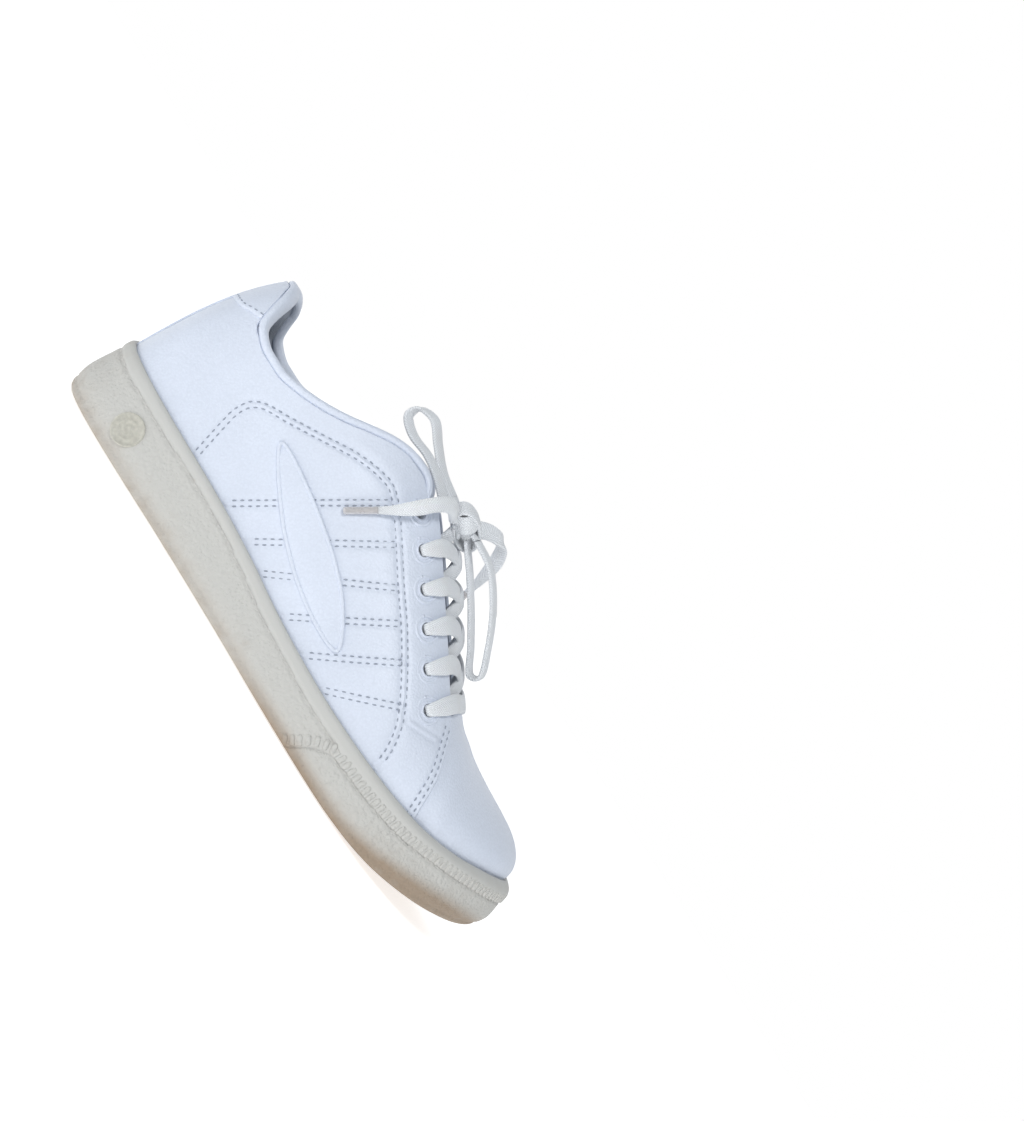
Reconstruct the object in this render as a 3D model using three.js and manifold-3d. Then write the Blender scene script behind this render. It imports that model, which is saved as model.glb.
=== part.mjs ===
// Court shoe, right foot: lasted leather upper on a rubber cup sole, laced and tied.
// Millimetres. +X runs to the toe, +Y to the inner (medial) side of the foot, +Z up.
// Pattern points are drawn for the sample size, with x from just inside the back of the tread,
// and graded to the size that is made. Layers of the upper are shells of one last.
import * as THREE from 'three';
import { mergeVertices } from 'three/addons/utils/BufferGeometryUtils.js';
import Module from 'manifold-3d';

const wasm = await Module();
wasm.setup();

// ---- Driving dimensions ---------------------------------------------------------------
const SHOE_LENGTH = 279.3; // back to front of the cup sole
const SHOE_WIDTH = 102; // widest part of the forefoot
const SHOE_HEIGHT = 104.7; // ground to the highest point of the collar
const SAMPLE = { length: 279.3, width: 102, height: 104.7 }; // size the pattern is drawn for
const CLEARANCE = 0.3; // between pieces that are glued or sewn together
const INNER_EDGE_STEP = 2.8; // how far the lining's edge stands back under the eyelet stay
const SEAT_DEPTH = 8; // how far the upper stands inside the cup
const LEATHER = 1.6; // outer leather
const STIFFENER = 1.2; // heel counter, toe puff and eyelet stay backing
const LINING = 1.1; // textile lining
const COLLAR_FOAM = 3.4; // padding round the ankle
const COLLAR_BAND = 24; // height of the padded band below the collar edge
const COLLAR_ROLL_HEIGHT = 4.2; // rolled edge round the collar
const TREAD_FLOOR = 6; // rubber under the midsole
const BOARD = 1.8; // lasting board
const SOCKLINER = 3.4; // removable insole
const LIP_WIDTH = 1.2; // top of the cup wall
const BADGE_DIAMETER = 14;
const BADGE_DEPTH = 1.4;
const BADGE_PROUD = 0.25; // how far the disc stands out of the rubber
const EYELET_HOLE = 5; // punched hole
const EYELET_COUNT = 6; // a side
const STAY_WIDTH = 18; // backing under the eyelets
const LACE_WIDTH = 8;
const LACE_THICKNESS = 1.3;
const LACE_PLAY = 1.1; // room for the lace between the lining and the tongue
const TONGUE_LEATHER = 1.2;
const TONGUE_FOAM = 3.6;
const TONGUE_PLAY = 1; // between the tongue and the rolled edge
const APPLIQUE_THICKNESS = 1.3;
const KNOT_SIZE = [17, 19, 9.2];
const KNOT_GAP = 0.5; // between the knot and the ridge
const AGLET_LENGTH = 13;
const AGLET_DIAMETER = 3.2;

const STATIONS = 24; // sections from heel to toe
const ROWS = 8; // steps from the cup up to the ridge, on each side
const BADGE_SIDES = 24;
const HOLE_SIDES = 8;

const gradeX = SHOE_LENGTH / SAMPLE.length;
const gradeY = SHOE_WIDTH / SAMPLE.width;
const gradeZ = SHOE_HEIGHT / SAMPLE.height;
const side = (points) => points.map(([x, z]) => [x * gradeX, z * gradeZ]);
const plan = (points) => points.map(([x, y]) => [x * gradeX, y * gradeY]);

// ---- Pattern --------------------------------------------------------------------------
// Outline of the cup sole seen from above, at its widest: heel, lateral side, toe, medial side.
const SOLE_OUTLINE = plan([
  [-6.8, 0], [1, -24], [14, -33], [36, -37], [72, -38], [110, -42], [150, -49.5], [186, -53],
  [220, -48.5], [248, -33.5], [266, -13], [272.5, 7], [266, 27], [247, 41.5], [218, 49], [186, 48],
  [150, 41], [110, 33.5], [72, 32.5], [36, 34.5], [14, 31.5], [1, 23],
]);
const TOP_LINE = side([
  [-8, 31.4], [27, 29.8], [60, 29], [80, 28.2], [100, 26.8], [120, 24.8], [140, 23.7], [160, 23.3],
  [180, 23.8], [200, 25], [220, 27.2], [240, 32], [252, 36.2], [264, 39.7], [274, 41],
]);
const TREAD_LINE = side([
  [-8, 1], [4, 0], [60, 0], [120, 0], [190, 0], [206, 0.6], [220, 2], [240, 6.2], [260, 12.6], [274, 19.6],
]);
const RIDGE = side([
  [34, 124], [60, 126], [80, 122.5], [100, 113.5], [120, 103.5], [137, 95.5], [160, 82.6],
  [180, 69.8], [190, 63.6], [198, 59.4], [208, 56], [220, 54.2], [238, 53],
]);
const RIDGE_Y = plan([[34, 0], [120, 0], [200, 3], [238, 7]]);
// Top edge of the quarters: heel peak, ankle dip, collar, eyelet stay down to the throat.
const COLLAR_LINE = side([
  [-10, 99.4], [11.6, 99.2], [14.5, 97], [17.4, 90], [20.3, 83.5], [25, 79.5], [33, 77.2], [41, 77.2],
  [50, 79.5], [60, 83.6], [70, 89.3], [79.5, 96], [89, 101.7], [97, 104.3], [105, 104.7], [112, 103],
  [120, 99], [137, 90.3], [160, 77.8], [180, 66.6], [198, 56.4],
]);
const FRONT_SEAM = side([[198, 56.4], [203.5, 50.4], [210, 42.6], [215, 33], [219, 24], [221, 10]]);
const HEEL_TAB = side([[-14, 73.6], [3, 74], [9.7, 75], [13.6, 77], [19.4, 79.6]]);
const BACKSTAY_REACH = 1.3; // how far the strip down the heel comes round, in side view
const EYELETS = side([[118, 91.8], [131.5, 84.8], [145, 77.2], [158.5, 69.6], [172, 61.8], [185.5, 53.6]]);
const APPLIQUE = side([[66, 60.5], [100, 57.5], [132, 48], [147, 36.5], [128, 35.5], [96, 43.5]]);
const COUNTER = side([[-12, 10], [-12, 70], [14, 66], [40, 56], [62, 34], [66, 10]]);
const TOE_PUFF = side([[238, 10], [238, 60], [280, 60], [280, 10]]);
const BADGE_AT = side([[30, 13]])[0];

// Smooth function y(x) through points of growing x (monotone cubic).
function curveThrough(points) {
  const slopes = points.map((point, i) => {
    if (i === 0 || i === points.length - 1) return 0;
    const before = (point[1] - points[i - 1][1]) / (point[0] - points[i - 1][0]);
    const after = (points[i + 1][1] - point[1]) / (points[i + 1][0] - point[0]);
    return before * after <= 0 ? 0 : (2 * before * after) / (before + after);
  });
  const last = points.length - 1;
  slopes[0] = (points[1][1] - points[0][1]) / (points[1][0] - points[0][0]);
  slopes[last] = (points[last][1] - points[last - 1][1]) / (points[last][0] - points[last - 1][0]);
  return (x) => {
    if (x <= points[0][0]) return points[0][1];
    if (x >= points[last][0]) return points[last][1];
    const i = points.findIndex((point) => point[0] > x) - 1;
    const span = points[i + 1][0] - points[i][0];
    const t = (x - points[i][0]) / span;
    const rise = points[i + 1][1] - points[i][1];
    const a = slopes[i] * span - rise;
    const b = -slopes[i + 1] * span + rise;
    return points[i][1] + t * rise + t * (1 - t) * (a * (1 - t) + b * t);
  };
}

const topLine = curveThrough(TOP_LINE);
const treadLine = curveThrough(TREAD_LINE);
const ridgeHeight = curveThrough(RIDGE);
const ridgeSide = curveThrough(RIDGE_Y);
const collarLine = curveThrough(COLLAR_LINE);

// ---- Outline and last -----------------------------------------------------------------
const outlineCurve = new THREE.CatmullRomCurve3(
  SOLE_OUTLINE.map(([x, y]) => new THREE.Vector3(x, y, 0)), true, 'centripetal',
);
outlineCurve.arcLengthDivisions = 1200;
const TOE_SHARE = (() => {
  let best = 0;
  for (let i = 0; i <= 1200; i += 1) {
    const share = i / 1200;
    if (outlineCurve.getPointAt(share).x > outlineCurve.getPointAt(best).x) best = share;
  }
  return best;
})();

const smooth = (t) => {
  const c = Math.min(1, Math.max(0, t));
  return c * c * (3 - 2 * c);
};

// Point of the outline, moved inwards. u runs 0 heel to 1 toe, hand is -1 lateral, +1 medial.
function outlinePoint(hand, u, inset) {
  const share = hand < 0 ? u * TOE_SHARE : 1 - u * (1 - TOE_SHARE);
  const at = Math.min(1, Math.max(0, share));
  const point = outlineCurve.getPointAt(at);
  const along = outlineCurve.getTangentAt(at);
  return new THREE.Vector3(point.x - along.y * inset, point.y + along.x * inset, 0);
}

// How far the bead's inner edge lies inside the widest outline: little at the heel, more at the toe.
const beadInset = (u) => 3.6 + 5.2 * smooth((u - 0.55) / 0.45);

// Point of the last on section u at row share v: 0 at the foot of the wall, 1 on the ridge.
const WALL_SHARE = 1 / ROWS;
function lastPoint(hand, u, v) {
  const foot = outlinePoint(hand, u, beadInset(u) + CLEARANCE);
  const top = topLine(foot.x);
  if (v <= WALL_SHARE) return foot.setZ(top - SEAT_DEPTH * (1 - v / WALL_SHARE));
  const ridgeX = RIDGE[0][0] + (RIDGE.at(-1)[0] - RIDGE[0][0]) * (0.16 * smooth(u) + 0.84 * u);
  const ridge = new THREE.Vector3(ridgeX, ridgeSide(ridgeX), ridgeHeight(ridgeX));
  const out = new THREE.Vector3(foot.x - ridge.x, foot.y - ridge.y, 0);
  const reach = out.length();
  out.normalize();
  foot.setZ(top);
  const rise = ridge.z - top;
  const ankle = 1 - smooth((ridgeX - 60 * gradeX) / (50 * gradeX));
  const instep = smooth((ridgeX - 115 * gradeX) / (60 * gradeX));
  const toeBox = smooth((ridgeX - 200 * gradeX) / (30 * gradeX));
  const lift = rise * (0.56 - 0.16 * ankle);
  const lean = (1 - ankle) * 2.2 * (1 - smooth((u - 0.9) / 0.1)) - ankle * 1.2;
  const first = foot.clone().addScaledVector(out, lean).setZ(top + lift);
  const fullness = 0.64 + 0.24 * ankle - 0.21 * instep + 0.2 * toeBox;
  const second = ridge.clone().addScaledVector(out, reach * fullness);
  second.z += -rise * 0.19 * ankle;
  const t = (v - WALL_SHARE) / (1 - WALL_SHARE);
  return new THREE.CubicBezierCurve3(foot, first, second, ridge).getPoint(t);
}

// Point on the layer `depth` below the last's skin, measured square to it.
function skin(hand, u, v, depth) {
  const step = 0.004;
  const point = lastPoint(hand, u, v);
  const back = u - step < 0 ? lastPoint(-hand, step - u, v) : lastPoint(hand, u - step, v);
  const front = u + step > 1 ? lastPoint(-hand, 2 - u - step, v) : lastPoint(hand, u + step, v);
  const down = lastPoint(hand, u, Math.max(0, v - step));
  const up = v + step > 1 ? lastPoint(-hand, u, 2 - v - step) : lastPoint(hand, u, v + step);
  const normal = front.sub(back).cross(up.sub(down)).multiplyScalar(-hand);
  if (normal.length() < 1e-9) normal.set(0, 0, 1);
  normal.normalize();
  return { point: point.addScaledVector(normal, -depth), normal };
}

// The same, found from its place in side view, x and z, by halving first v and then u.
function skinAt(hand, x, z, depth) {
  const sectionOf = (v) => {
    let [low, high] = [0, 1];
    for (let i = 0; i < 24; i += 1) {
      const middle = (low + high) / 2;
      if (skin(hand, middle, v, depth).point.x < x) low = middle;
      else high = middle;
    }
    return low;
  };
  let [low, high] = [0.02, 0.985];
  for (let i = 0; i < 22; i += 1) {
    const middle = (low + high) / 2;
    if (skin(hand, sectionOf(middle), middle, depth).point.z < z) low = middle;
    else high = middle;
  }
  return skin(hand, sectionOf(low), low, depth);
}

const inwards = ({ point, normal }, depth) => ({
  point: point.clone().addScaledVector(normal, -depth), normal,
});

// ---- Solids ---------------------------------------------------------------------------
function indexed(positions, triangles) {
  const geometry = new THREE.BufferGeometry();
  geometry.setAttribute('position', new THREE.Float32BufferAttribute(positions, 3));
  geometry.setIndex(triangles);
  return geometry;
}

function toManifold(source) {
  const bare = source.index ? source.clone() : source;
  bare.deleteAttribute('normal');
  bare.deleteAttribute('uv');
  const merged = mergeVertices(bare, 1e-4);
  const { index, attributes } = merged;
  const kept = [];
  for (let i = 0; i < index.count; i += 3) {
    const [a, b, c] = [index.getX(i), index.getX(i + 1), index.getX(i + 2)];
    if (a !== b && b !== c && a !== c) kept.push(a, b, c);
  }
  const build = (list) => new wasm.Manifold(new wasm.Mesh({
    numProp: 3,
    vertProperties: new Float32Array(attributes.position.array),
    triVerts: new Uint32Array(list),
  }));
  const solid = build(kept);
  if (solid.volume() > 0) return solid;
  return build(kept.reverse());
}

// Closed solid from cross-sections that are closed loops. Capped, its ends are flat convex faces;
// uncapped, its first and last loop are folded flat already.
function loft(loops, capped = false) {
  const count = loops[0].length;
  const positions = loops.flat().flatMap((point) => [point.x, point.y, point.z]);
  const triangles = [];
  for (let j = 0; j + 1 < loops.length; j += 1) {
    for (let k = 0; k < count; k += 1) {
      const a = j * count + k;
      const b = j * count + ((k + 1) % count);
      triangles.push(a, b, b + count, a, b + count, a + count);
    }
  }
  const end = (loops.length - 1) * count;
  for (let k = 1; capped && k + 1 < count; k += 1) {
    triangles.push(0, k + 1, k, end, end + k, end + k + 1);
  }
  return toManifold(indexed(positions, triangles));
}

// The whole last at a depth, with its open bottom carried lower by `drop`.
function lastSolid(depth, drop) {
  const loops = [];
  for (let j = 0; j <= STATIONS; j += 1) {
    const u = j / STATIONS;
    const half = (hand) => Array.from({ length: ROWS + 1 }, (_, k) => {
      const { point } = skin(hand, u, k / ROWS, depth);
      if (k === 0) point.z -= drop;
      return point;
    });
    const lateral = half(-1);
    const medial = j === 0 || j === STATIONS ? lateral.map((point) => point.clone()) : half(1);
    medial[ROWS] = lateral[ROWS];
    loops.push([...lateral, ...medial.reverse().slice(1)]);
  }
  return loft(loops);
}

const shellOf = (outerDepth, innerDepth) => lastSolid(outerDepth, 0).subtract(lastSolid(innerDepth, 2));

// Prism across the shoe with an outline in side view.
const REACH = 90;
function sidePrism(points, fromY = -REACH, toY = REACH) {
  const shape = new THREE.Shape(points.map(([x, z]) => new THREE.Vector2(x, z)));
  const geometry = new THREE.ExtrudeGeometry(shape, { depth: toY - fromY, bevelEnabled: false });
  geometry.rotateX(Math.PI / 2);
  geometry.translate(0, toY, 0);
  return toManifold(geometry);
}

// Prism up through the shoe with an outline seen from above.
function planPrism(points, fromZ, toZ) {
  const shape = new THREE.Shape(points.map(([x, y]) => new THREE.Vector2(x, y)));
  const geometry = new THREE.ExtrudeGeometry(shape, { depth: toZ - fromZ, bevelEnabled: false });
  geometry.translate(0, 0, fromZ);
  return toManifold(geometry);
}

const halfOf = (hand) => (hand < 0 ? [-REACH, -CLEARANCE / 2] : [CLEARANCE / 2, REACH]);

function cylinderAlong(centre, axis, radius, length, sides = 20) {
  const geometry = new THREE.CylinderGeometry(radius, radius, length, sides);
  const turn = new THREE.Quaternion().setFromUnitVectors(new THREE.Vector3(0, 1, 0), axis);
  geometry.applyQuaternion(turn);
  geometry.translate(centre.x, centre.y, centre.z);
  return toManifold(geometry);
}

// Place of the collar line at x, moved square to it into the upper by `drop`.
function collarInset(x, drop) {
  const slope = (collarLine(x + 0.5) - collarLine(x - 0.5));
  const long = Math.hypot(1, slope);
  return [x + (drop * slope) / long, collarLine(x) - drop / long];
}

// Run of such places from one x to another, without the folds of an inset bend.
function collarPoints(fromX, toX, drop, steps) {
  const run = [];
  for (let i = 0; i <= steps; i += 1) {
    const point = collarInset(fromX + ((toX - fromX) * i) / steps, drop);
    const inside = point[0] >= fromX && point[0] <= toX;
    if (inside && (run.length === 0 || point[0] > run.at(-1)[0] + 0.4)) run.push(point);
  }
  return [[fromX, run[0][1]], ...run.slice(run[0][0] - fromX < 0.4 ? 1 : 0), [toX, run.at(-1)[1]]]
    .filter((point, i, all) => i === 0 || point[0] > all[i - 1][0] + 0.05);
}

// Flat band of constant or changing width along a list of {point, normal, width} stations.
function ribbon(stations, thickness, sides = 6) {
  const loops = stations.map((station, i) => {
    const before = stations[Math.max(0, i - 1)].point;
    const after = stations[Math.min(stations.length - 1, i + 1)].point;
    const along = after.clone().sub(before).normalize();
    const across = along.clone().cross(station.normal).normalize();
    const upward = across.clone().cross(along).normalize();
    return Array.from({ length: sides }, (_, k) => {
      const angle = (2 * Math.PI * (k + 0.5)) / sides;
      const flat = Math.sign(Math.cos(angle)) * Math.abs(Math.cos(angle)) ** 0.45;
      const high = Math.sign(Math.sin(angle)) * Math.abs(Math.sin(angle)) ** 0.9;
      return station.point.clone()
        .addScaledVector(across, (flat * station.width) / 2)
        .addScaledVector(upward, (high * thickness) / 2);
    });
  });
  return loft(loops, true);
}

// ---- Materials ------------------------------------------------------------------------
const finish = (color, roughness) => new THREE.MeshStandardMaterial({ color, roughness, metalness: 0 });
const WHITE_LEATHER = finish('#e9ecf2', 0.5);
const SOLE_RUBBER = finish('#d9d5c6', 0.75);
const LINING_CLOTH = finish('#cdd8e6', 0.9);
const FOAM = finish('#e6dcc0', 0.95);
const BOARD_FIBRE = finish('#b9a888', 0.9);
const LACE_CLOTH = finish('#eef0f2', 0.85);
const BADGE_PLASTIC = finish('#ddd2a4', 0.35);
const AGLET_PLASTIC = finish('#e8ecef', 0.25);

const shoe = new THREE.Group();
function add(name, solid, material) {
  const mesh = solid.getMesh();
  const points = [];
  for (let i = 0; i < mesh.vertProperties.length; i += mesh.numProp) {
    points.push(mesh.vertProperties[i], mesh.vertProperties[i + 1], mesh.vertProperties[i + 2]);
  }
  const geometry = indexed(points, Array.from(mesh.triVerts));
  geometry.computeVertexNormals();
  const node = new THREE.Mesh(geometry, material);
  node.name = name;
  shoe.add(node);
  return node;
}

// ---- Cup sole -------------------------------------------------------------------------
const at = (point, z) => new THREE.Vector3(point.x, point.y, z);
const cupFloor = (x) => treadLine(x) + TREAD_FLOOR * gradeZ;
const seatLine = (x) => topLine(x) - SEAT_DEPTH;

function soleProfile(hand, u) {
  const inset = beadInset(u);
  const wide = outlinePoint(hand, u, 0);
  const tread = outlinePoint(hand, u, 5);
  const low = outlinePoint(hand, u, 1.6);
  const shoulder = outlinePoint(hand, u, 0.4 * inset);
  const lip = outlinePoint(hand, u, inset - LIP_WIDTH);
  const inner = outlinePoint(hand, u, inset);
  const top = topLine(inner.x);
  const ground = treadLine(tread.x);
  const tall = top - ground;
  return [
    at(tread, ground), at(low, ground + 0.08 * tall), at(wide, ground + 0.34 * tall),
    at(outlinePoint(hand, u, 0.22 * inset), ground + 0.66 * tall), at(shoulder, ground + 0.87 * tall),
    at(lip, top), at(inner, top - 0.4), at(inner, cupFloor(inner.x)),
  ];
}

function soleSolid() {
  const loops = [];
  for (let j = 0; j <= STATIONS; j += 1) {
    const u = j / STATIONS;
    const lateral = soleProfile(-1, u);
    const medial = j === 0 || j === STATIONS ? lateral.map((point) => point.clone()) : soleProfile(1, u);
    loops.push([...lateral, ...medial.reverse()]);
  }
  return loft(loops);
}

// Flat layer lying in the cup or in the upper, between two heights that follow the shoe's length.
function plate(inset, low, high) {
  const loops = [];
  for (let j = 0; j <= STATIONS; j += 1) {
    const u = j / STATIONS;
    const edge = (hand) => {
      const point = outlinePoint(hand, u, beadInset(u) + inset);
      return [at(point, low(point.x)), at(point, high(point.x))];
    };
    const lateral = edge(-1);
    const medial = j === 0 || j === STATIONS ? edge(-1) : edge(1);
    loops.push([...lateral, ...medial.reverse()]);
  }
  return loft(loops);
}

const badgeSites = [-1, 1].map((hand) => {
  let u = 0.12;
  for (let i = 0; i < 40; i += 1) u += (BADGE_AT[0] - outlinePoint(hand, u, 0).x) / (SHOE_LENGTH * 1.2);
  const profile = soleProfile(hand, u);
  const share = (BADGE_AT[1] - profile[2].z) / (profile[3].z - profile[2].z);
  const centre = profile[2].clone().lerp(profile[3], share);
  const along = outlinePoint(hand, u + 0.01, 0).sub(outlinePoint(hand, u - 0.01, 0)).normalize();
  const slope = profile[3].clone().sub(profile[2]).normalize();
  const normal = along.cross(slope).multiplyScalar(-hand).normalize();
  return { hand, centre, normal };
});

let outsole = soleSolid();
for (const { centre, normal } of badgeSites) {
  const pocketDepth = BADGE_DEPTH + CLEARANCE;
  outsole = outsole.subtract(
    cylinderAlong(centre, normal, BADGE_DIAMETER / 2 + CLEARANCE, 2 * pocketDepth, BADGE_SIDES),
  );
}
add('outsole', outsole, SOLE_RUBBER);
for (const { hand, centre, normal } of badgeSites) {
  const middle = centre.clone().addScaledVector(normal, BADGE_PROUD - BADGE_DEPTH / 2);
  const disc = cylinderAlong(middle, normal, BADGE_DIAMETER / 2, BADGE_DEPTH, BADGE_SIDES);
  add(hand < 0 ? 'badge_lateral' : 'badge_medial', disc, BADGE_PLASTIC);
}

const boardTop = (x) => seatLine(x) - CLEARANCE;
const boardLow = (x) => boardTop(x) - BOARD;
const midsole = plate(CLEARANCE, (x) => cupFloor(x) + CLEARANCE, (x) => boardLow(x) - CLEARANCE);
add('midsole', midsole, FOAM);
add('lasting_board', plate(CLEARANCE, boardLow, boardTop), BOARD_FIBRE);

// ---- Upper: layers of the last --------------------------------------------------------
const backing = LEATHER + CLEARANCE;
const liningOuter = backing + STIFFENER + CLEARANCE;
const liningInner = liningOuter + LINING;
const foamInner = backing + COLLAR_FOAM;
const collarLiningOuter = foamInner + CLEARANCE;
const collarLiningInner = collarLiningOuter + LINING;

const leatherShell = shellOf(0, LEATHER);
const stiffenerShell = shellOf(backing, backing + STIFFENER);
const liningShell = shellOf(liningOuter, liningInner);

const below = -10; // under every layer
const rollDrop = COLLAR_ROLL_HEIGHT - 0.4;
const seamGap = CLEARANCE / 2;
const moved = (points, dx, dz) => points.map(([x, z]) => [x + dx, z + dz]);
const tabFront = HEEL_TAB.at(-1)[0];
const heelTop = collarPoints(-14 * gradeX, tabFront, rollDrop, 16);

// Rolled edge round the collar, from stay to stay round the heel.
const rollDepth = collarLiningInner / 2;
const rollStation = (hand, x) => skinAt(hand, ...collarInset(x, COLLAR_ROLL_HEIGHT / 2), rollDepth);
const rollXs = [118, 112, 105, 97, 89, 80, 70, 60, 50, 41, 33, 26, 21.5, 18.8, 17, 15.6, 14.2]
  .map((x) => x * gradeX);
const lateralRoll = rollXs.map((x) => rollStation(-1, x));
const medialRoll = rollXs.map((x) => rollStation(1, x)).reverse();
const rollHeel = skinAt(-1, SOLE_OUTLINE[0][0], COLLAR_LINE[1][1] - COLLAR_ROLL_HEIGHT / 2, rollDepth);
const rollPath = [...lateralRoll, rollHeel, ...medialRoll].map(({ point, normal }) => ({ point, normal }));
const rollCurve = new THREE.CatmullRomCurve3(rollPath.map(({ point }) => point), false, 'centripetal');
function rollBand(grow) {
  const steps = 40;
  const stations = Array.from({ length: steps + 1 }, (_, i) => {
    const t = i / steps;
    const place = t * (rollPath.length - 1);
    const first = Math.min(rollPath.length - 2, Math.floor(place));
    const normal = rollPath[first].normal.clone().lerp(rollPath[first + 1].normal, place - first);
    const point = rollCurve.getPoint(t);
    const along = rollCurve.getTangent(t);
    return { point, normal: along.cross(normal).normalize(), width: collarLiningInner + 1 + 2 * grow };
  });
  return ribbon(stations, COLLAR_ROLL_HEIGHT - 1.4 + 2 * grow, 8);
}
add('collar_roll', rollBand(0), LINING_CLOTH);

// A layer cut back to clear the roll; the offcuts above the roll are thrown away.
const rollSpace = rollBand(CLEARANCE);
const mainBody = (solid) => solid.decompose().sort((one, other) => other.volume() - one.volume())[0];
const underRoll = (solid) => mainBody(solid.subtract(rollSpace));

// Heel patch: the tab above its seam and the narrow strip below it.
const heelLine = Array.from({ length: ROWS + 1 }, (_, row) => lastPoint(-1, 0, row / ROWS));
const rowsBelow = heelLine.filter((point) => point.z < HEEL_TAB[1][1]);
const lastBelow = rowsBelow.at(-1);
const nextAbove = heelLine[rowsBelow.length];
const seamShare = (HEEL_TAB[1][1] - lastBelow.z) / (nextAbove.z - lastBelow.z);
const seamPlace = lastBelow.clone().lerp(nextAbove, seamShare);
const heelRun = [seamPlace, ...rowsBelow.reverse(), heelLine[0].clone().setZ(0)];
const BACKSTAY = heelRun.map((point) => [point.x + BACKSTAY_REACH, point.z]);
const tabSeam = HEEL_TAB.filter(([x]) => x > BACKSTAY[0][0] + 1);
const heelOutline = [
  ...heelTop, ...moved(tabSeam, 0, seamGap).reverse(),
  ...moved(BACKSTAY, -seamGap, 0), [-14 * gradeX, below],
];
const heelPatch = underRoll(leatherShell.intersect(sidePrism(heelOutline)));
add('heel_patch', heelPatch, WHITE_LEATHER);

// Quarter: from the heel patch to the front seam, under the collar line and the eyelet stay.
const eyeletSites = (hand) => EYELETS.map(([x, z]) => skinAt(hand, x, z, 0));
const sites = { '-1': eyeletSites(-1), 1: eyeletSites(1) };
// The roll ends at the top of the eyelet stay, and from there the edge is as high as the collar line.
const rollEnd = 112 * gradeX;
const pastRoll = ([x, z]) => [x, z + rollDrop * smooth((x - rollEnd) / (10 * gradeX))];
const throatPoints = collarPoints(tabFront + seamGap, COLLAR_LINE.at(-1)[0], rollDrop, 18)
  .map(pastRoll);
const seamBack = moved(FRONT_SEAM, -seamGap, 0);
const quarterOutline = [
  ...throatPoints, ...seamBack.slice(1), [seamBack.at(-1)[0], below],
  [BACKSTAY.at(-1)[0] + seamGap, below], ...moved(BACKSTAY, seamGap, -seamGap).reverse(),
  ...moved(tabSeam, 0, -seamGap),
];
const PUNCH_REACH = 24;
const punch = (solid, hand) => sites[hand].reduce((piece, { point, normal }) => (
  piece.subtract(cylinderAlong(point, normal, EYELET_HOLE / 2, PUNCH_REACH, HOLE_SIDES))
), solid);
const nameOf = (hand) => (hand < 0 ? 'lateral' : 'medial');
for (const hand of [-1, 1]) {
  const quarter = underRoll(leatherShell.intersect(sidePrism(quarterOutline, ...halfOf(hand))));
  add(`quarter_${nameOf(hand)}`, punch(quarter, hand), WHITE_LEATHER);
}

// Vamp: everything in front of the seam.
const front = (SAMPLE.length + 20) * gradeX;
const seamFront = moved(FRONT_SEAM, seamGap, 0);
const throatTop = 90 * gradeZ;
const vampOutline = [
  [seamFront[0][0], throatTop], [front, throatTop], [front, below], [seamFront.at(-1)[0], below],
  ...seamFront.slice().reverse(),
];
add('vamp', leatherShell.intersect(sidePrism(vampOutline)), WHITE_LEATHER);

// Stiffeners between the leather and the lining.
add('heel_counter', stiffenerShell.intersect(sidePrism(COUNTER)), BOARD_FIBRE);
add('toe_puff', stiffenerShell.intersect(sidePrism(TOE_PUFF)), BOARD_FIBRE);
const stayWidth = STAY_WIDTH * gradeZ;
const stayTop = collarPoints(EYELETS[0][0] - 7, EYELETS.at(-1)[0] + 7, rollDrop + INNER_EDGE_STEP / 2, 8)
  .map(pastRoll);
const stayOutline = [...stayTop, ...moved(stayTop, -4, -stayWidth).reverse()];
for (const hand of [-1, 1]) {
  const stay = underRoll(stiffenerShell.intersect(sidePrism(stayOutline, ...halfOf(hand))));
  add(`eyelet_stay_${nameOf(hand)}`, punch(stay, hand), BOARD_FIBRE);
}

// Padded collar band and linings.
const collarFrom = -14 * gradeX;
const collarTo = EYELETS[0][0] - 12;
const bandTop = collarPoints(collarFrom, collarTo, rollDrop, 14);
const bandOutline = [
  ...bandTop, ...collarPoints(collarFrom, collarTo, rollDrop + COLLAR_BAND, 8).reverse(),
];
const band = shellOf(backing, foamInner).intersect(sidePrism(bandOutline));
const counterClear = sidePrism(moved(COUNTER, 0, CLEARANCE));
add('collar_foam', underRoll(band.subtract(counterClear)), FOAM);
const collarLiningShell = shellOf(collarLiningOuter, collarLiningInner);
add('collar_lining', underRoll(collarLiningShell.intersect(sidePrism(bandOutline))), LINING_CLOTH);

const underBand = collarPoints(collarFrom, collarTo, rollDrop + COLLAR_BAND + CLEARANCE, 8);
const liningTop = collarPoints(collarTo + CLEARANCE, COLLAR_LINE.at(-1)[0], rollDrop + INNER_EDGE_STEP, 8)
  .map(pastRoll);
const throatX = COLLAR_LINE.at(-1)[0];
const quarterLiningOutline = [...underBand, ...liningTop, [throatX, below], [collarFrom, below]];
for (const hand of [-1, 1]) {
  const piece = underRoll(liningShell.intersect(sidePrism(quarterLiningOutline, ...halfOf(hand))));
  add(`quarter_lining_${nameOf(hand)}`, punch(piece, hand), LINING_CLOTH);
}
const vampLiningOutline = [
  [throatX + CLEARANCE, below], [throatX + CLEARANCE, throatTop],
  [front, throatTop], [front, below],
];
add('vamp_lining', liningShell.intersect(sidePrism(vampLiningOutline)), LINING_CLOTH);

// Insole lying on the lasting board inside the linings.
const sockLow = (x) => seatLine(x) + CLEARANCE;
const sockInset = liningInner + CLEARANCE + 0.5;
add('sockliner', plate(sockInset, sockLow, (x) => sockLow(x) + SOCKLINER), LINING_CLOTH);

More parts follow.
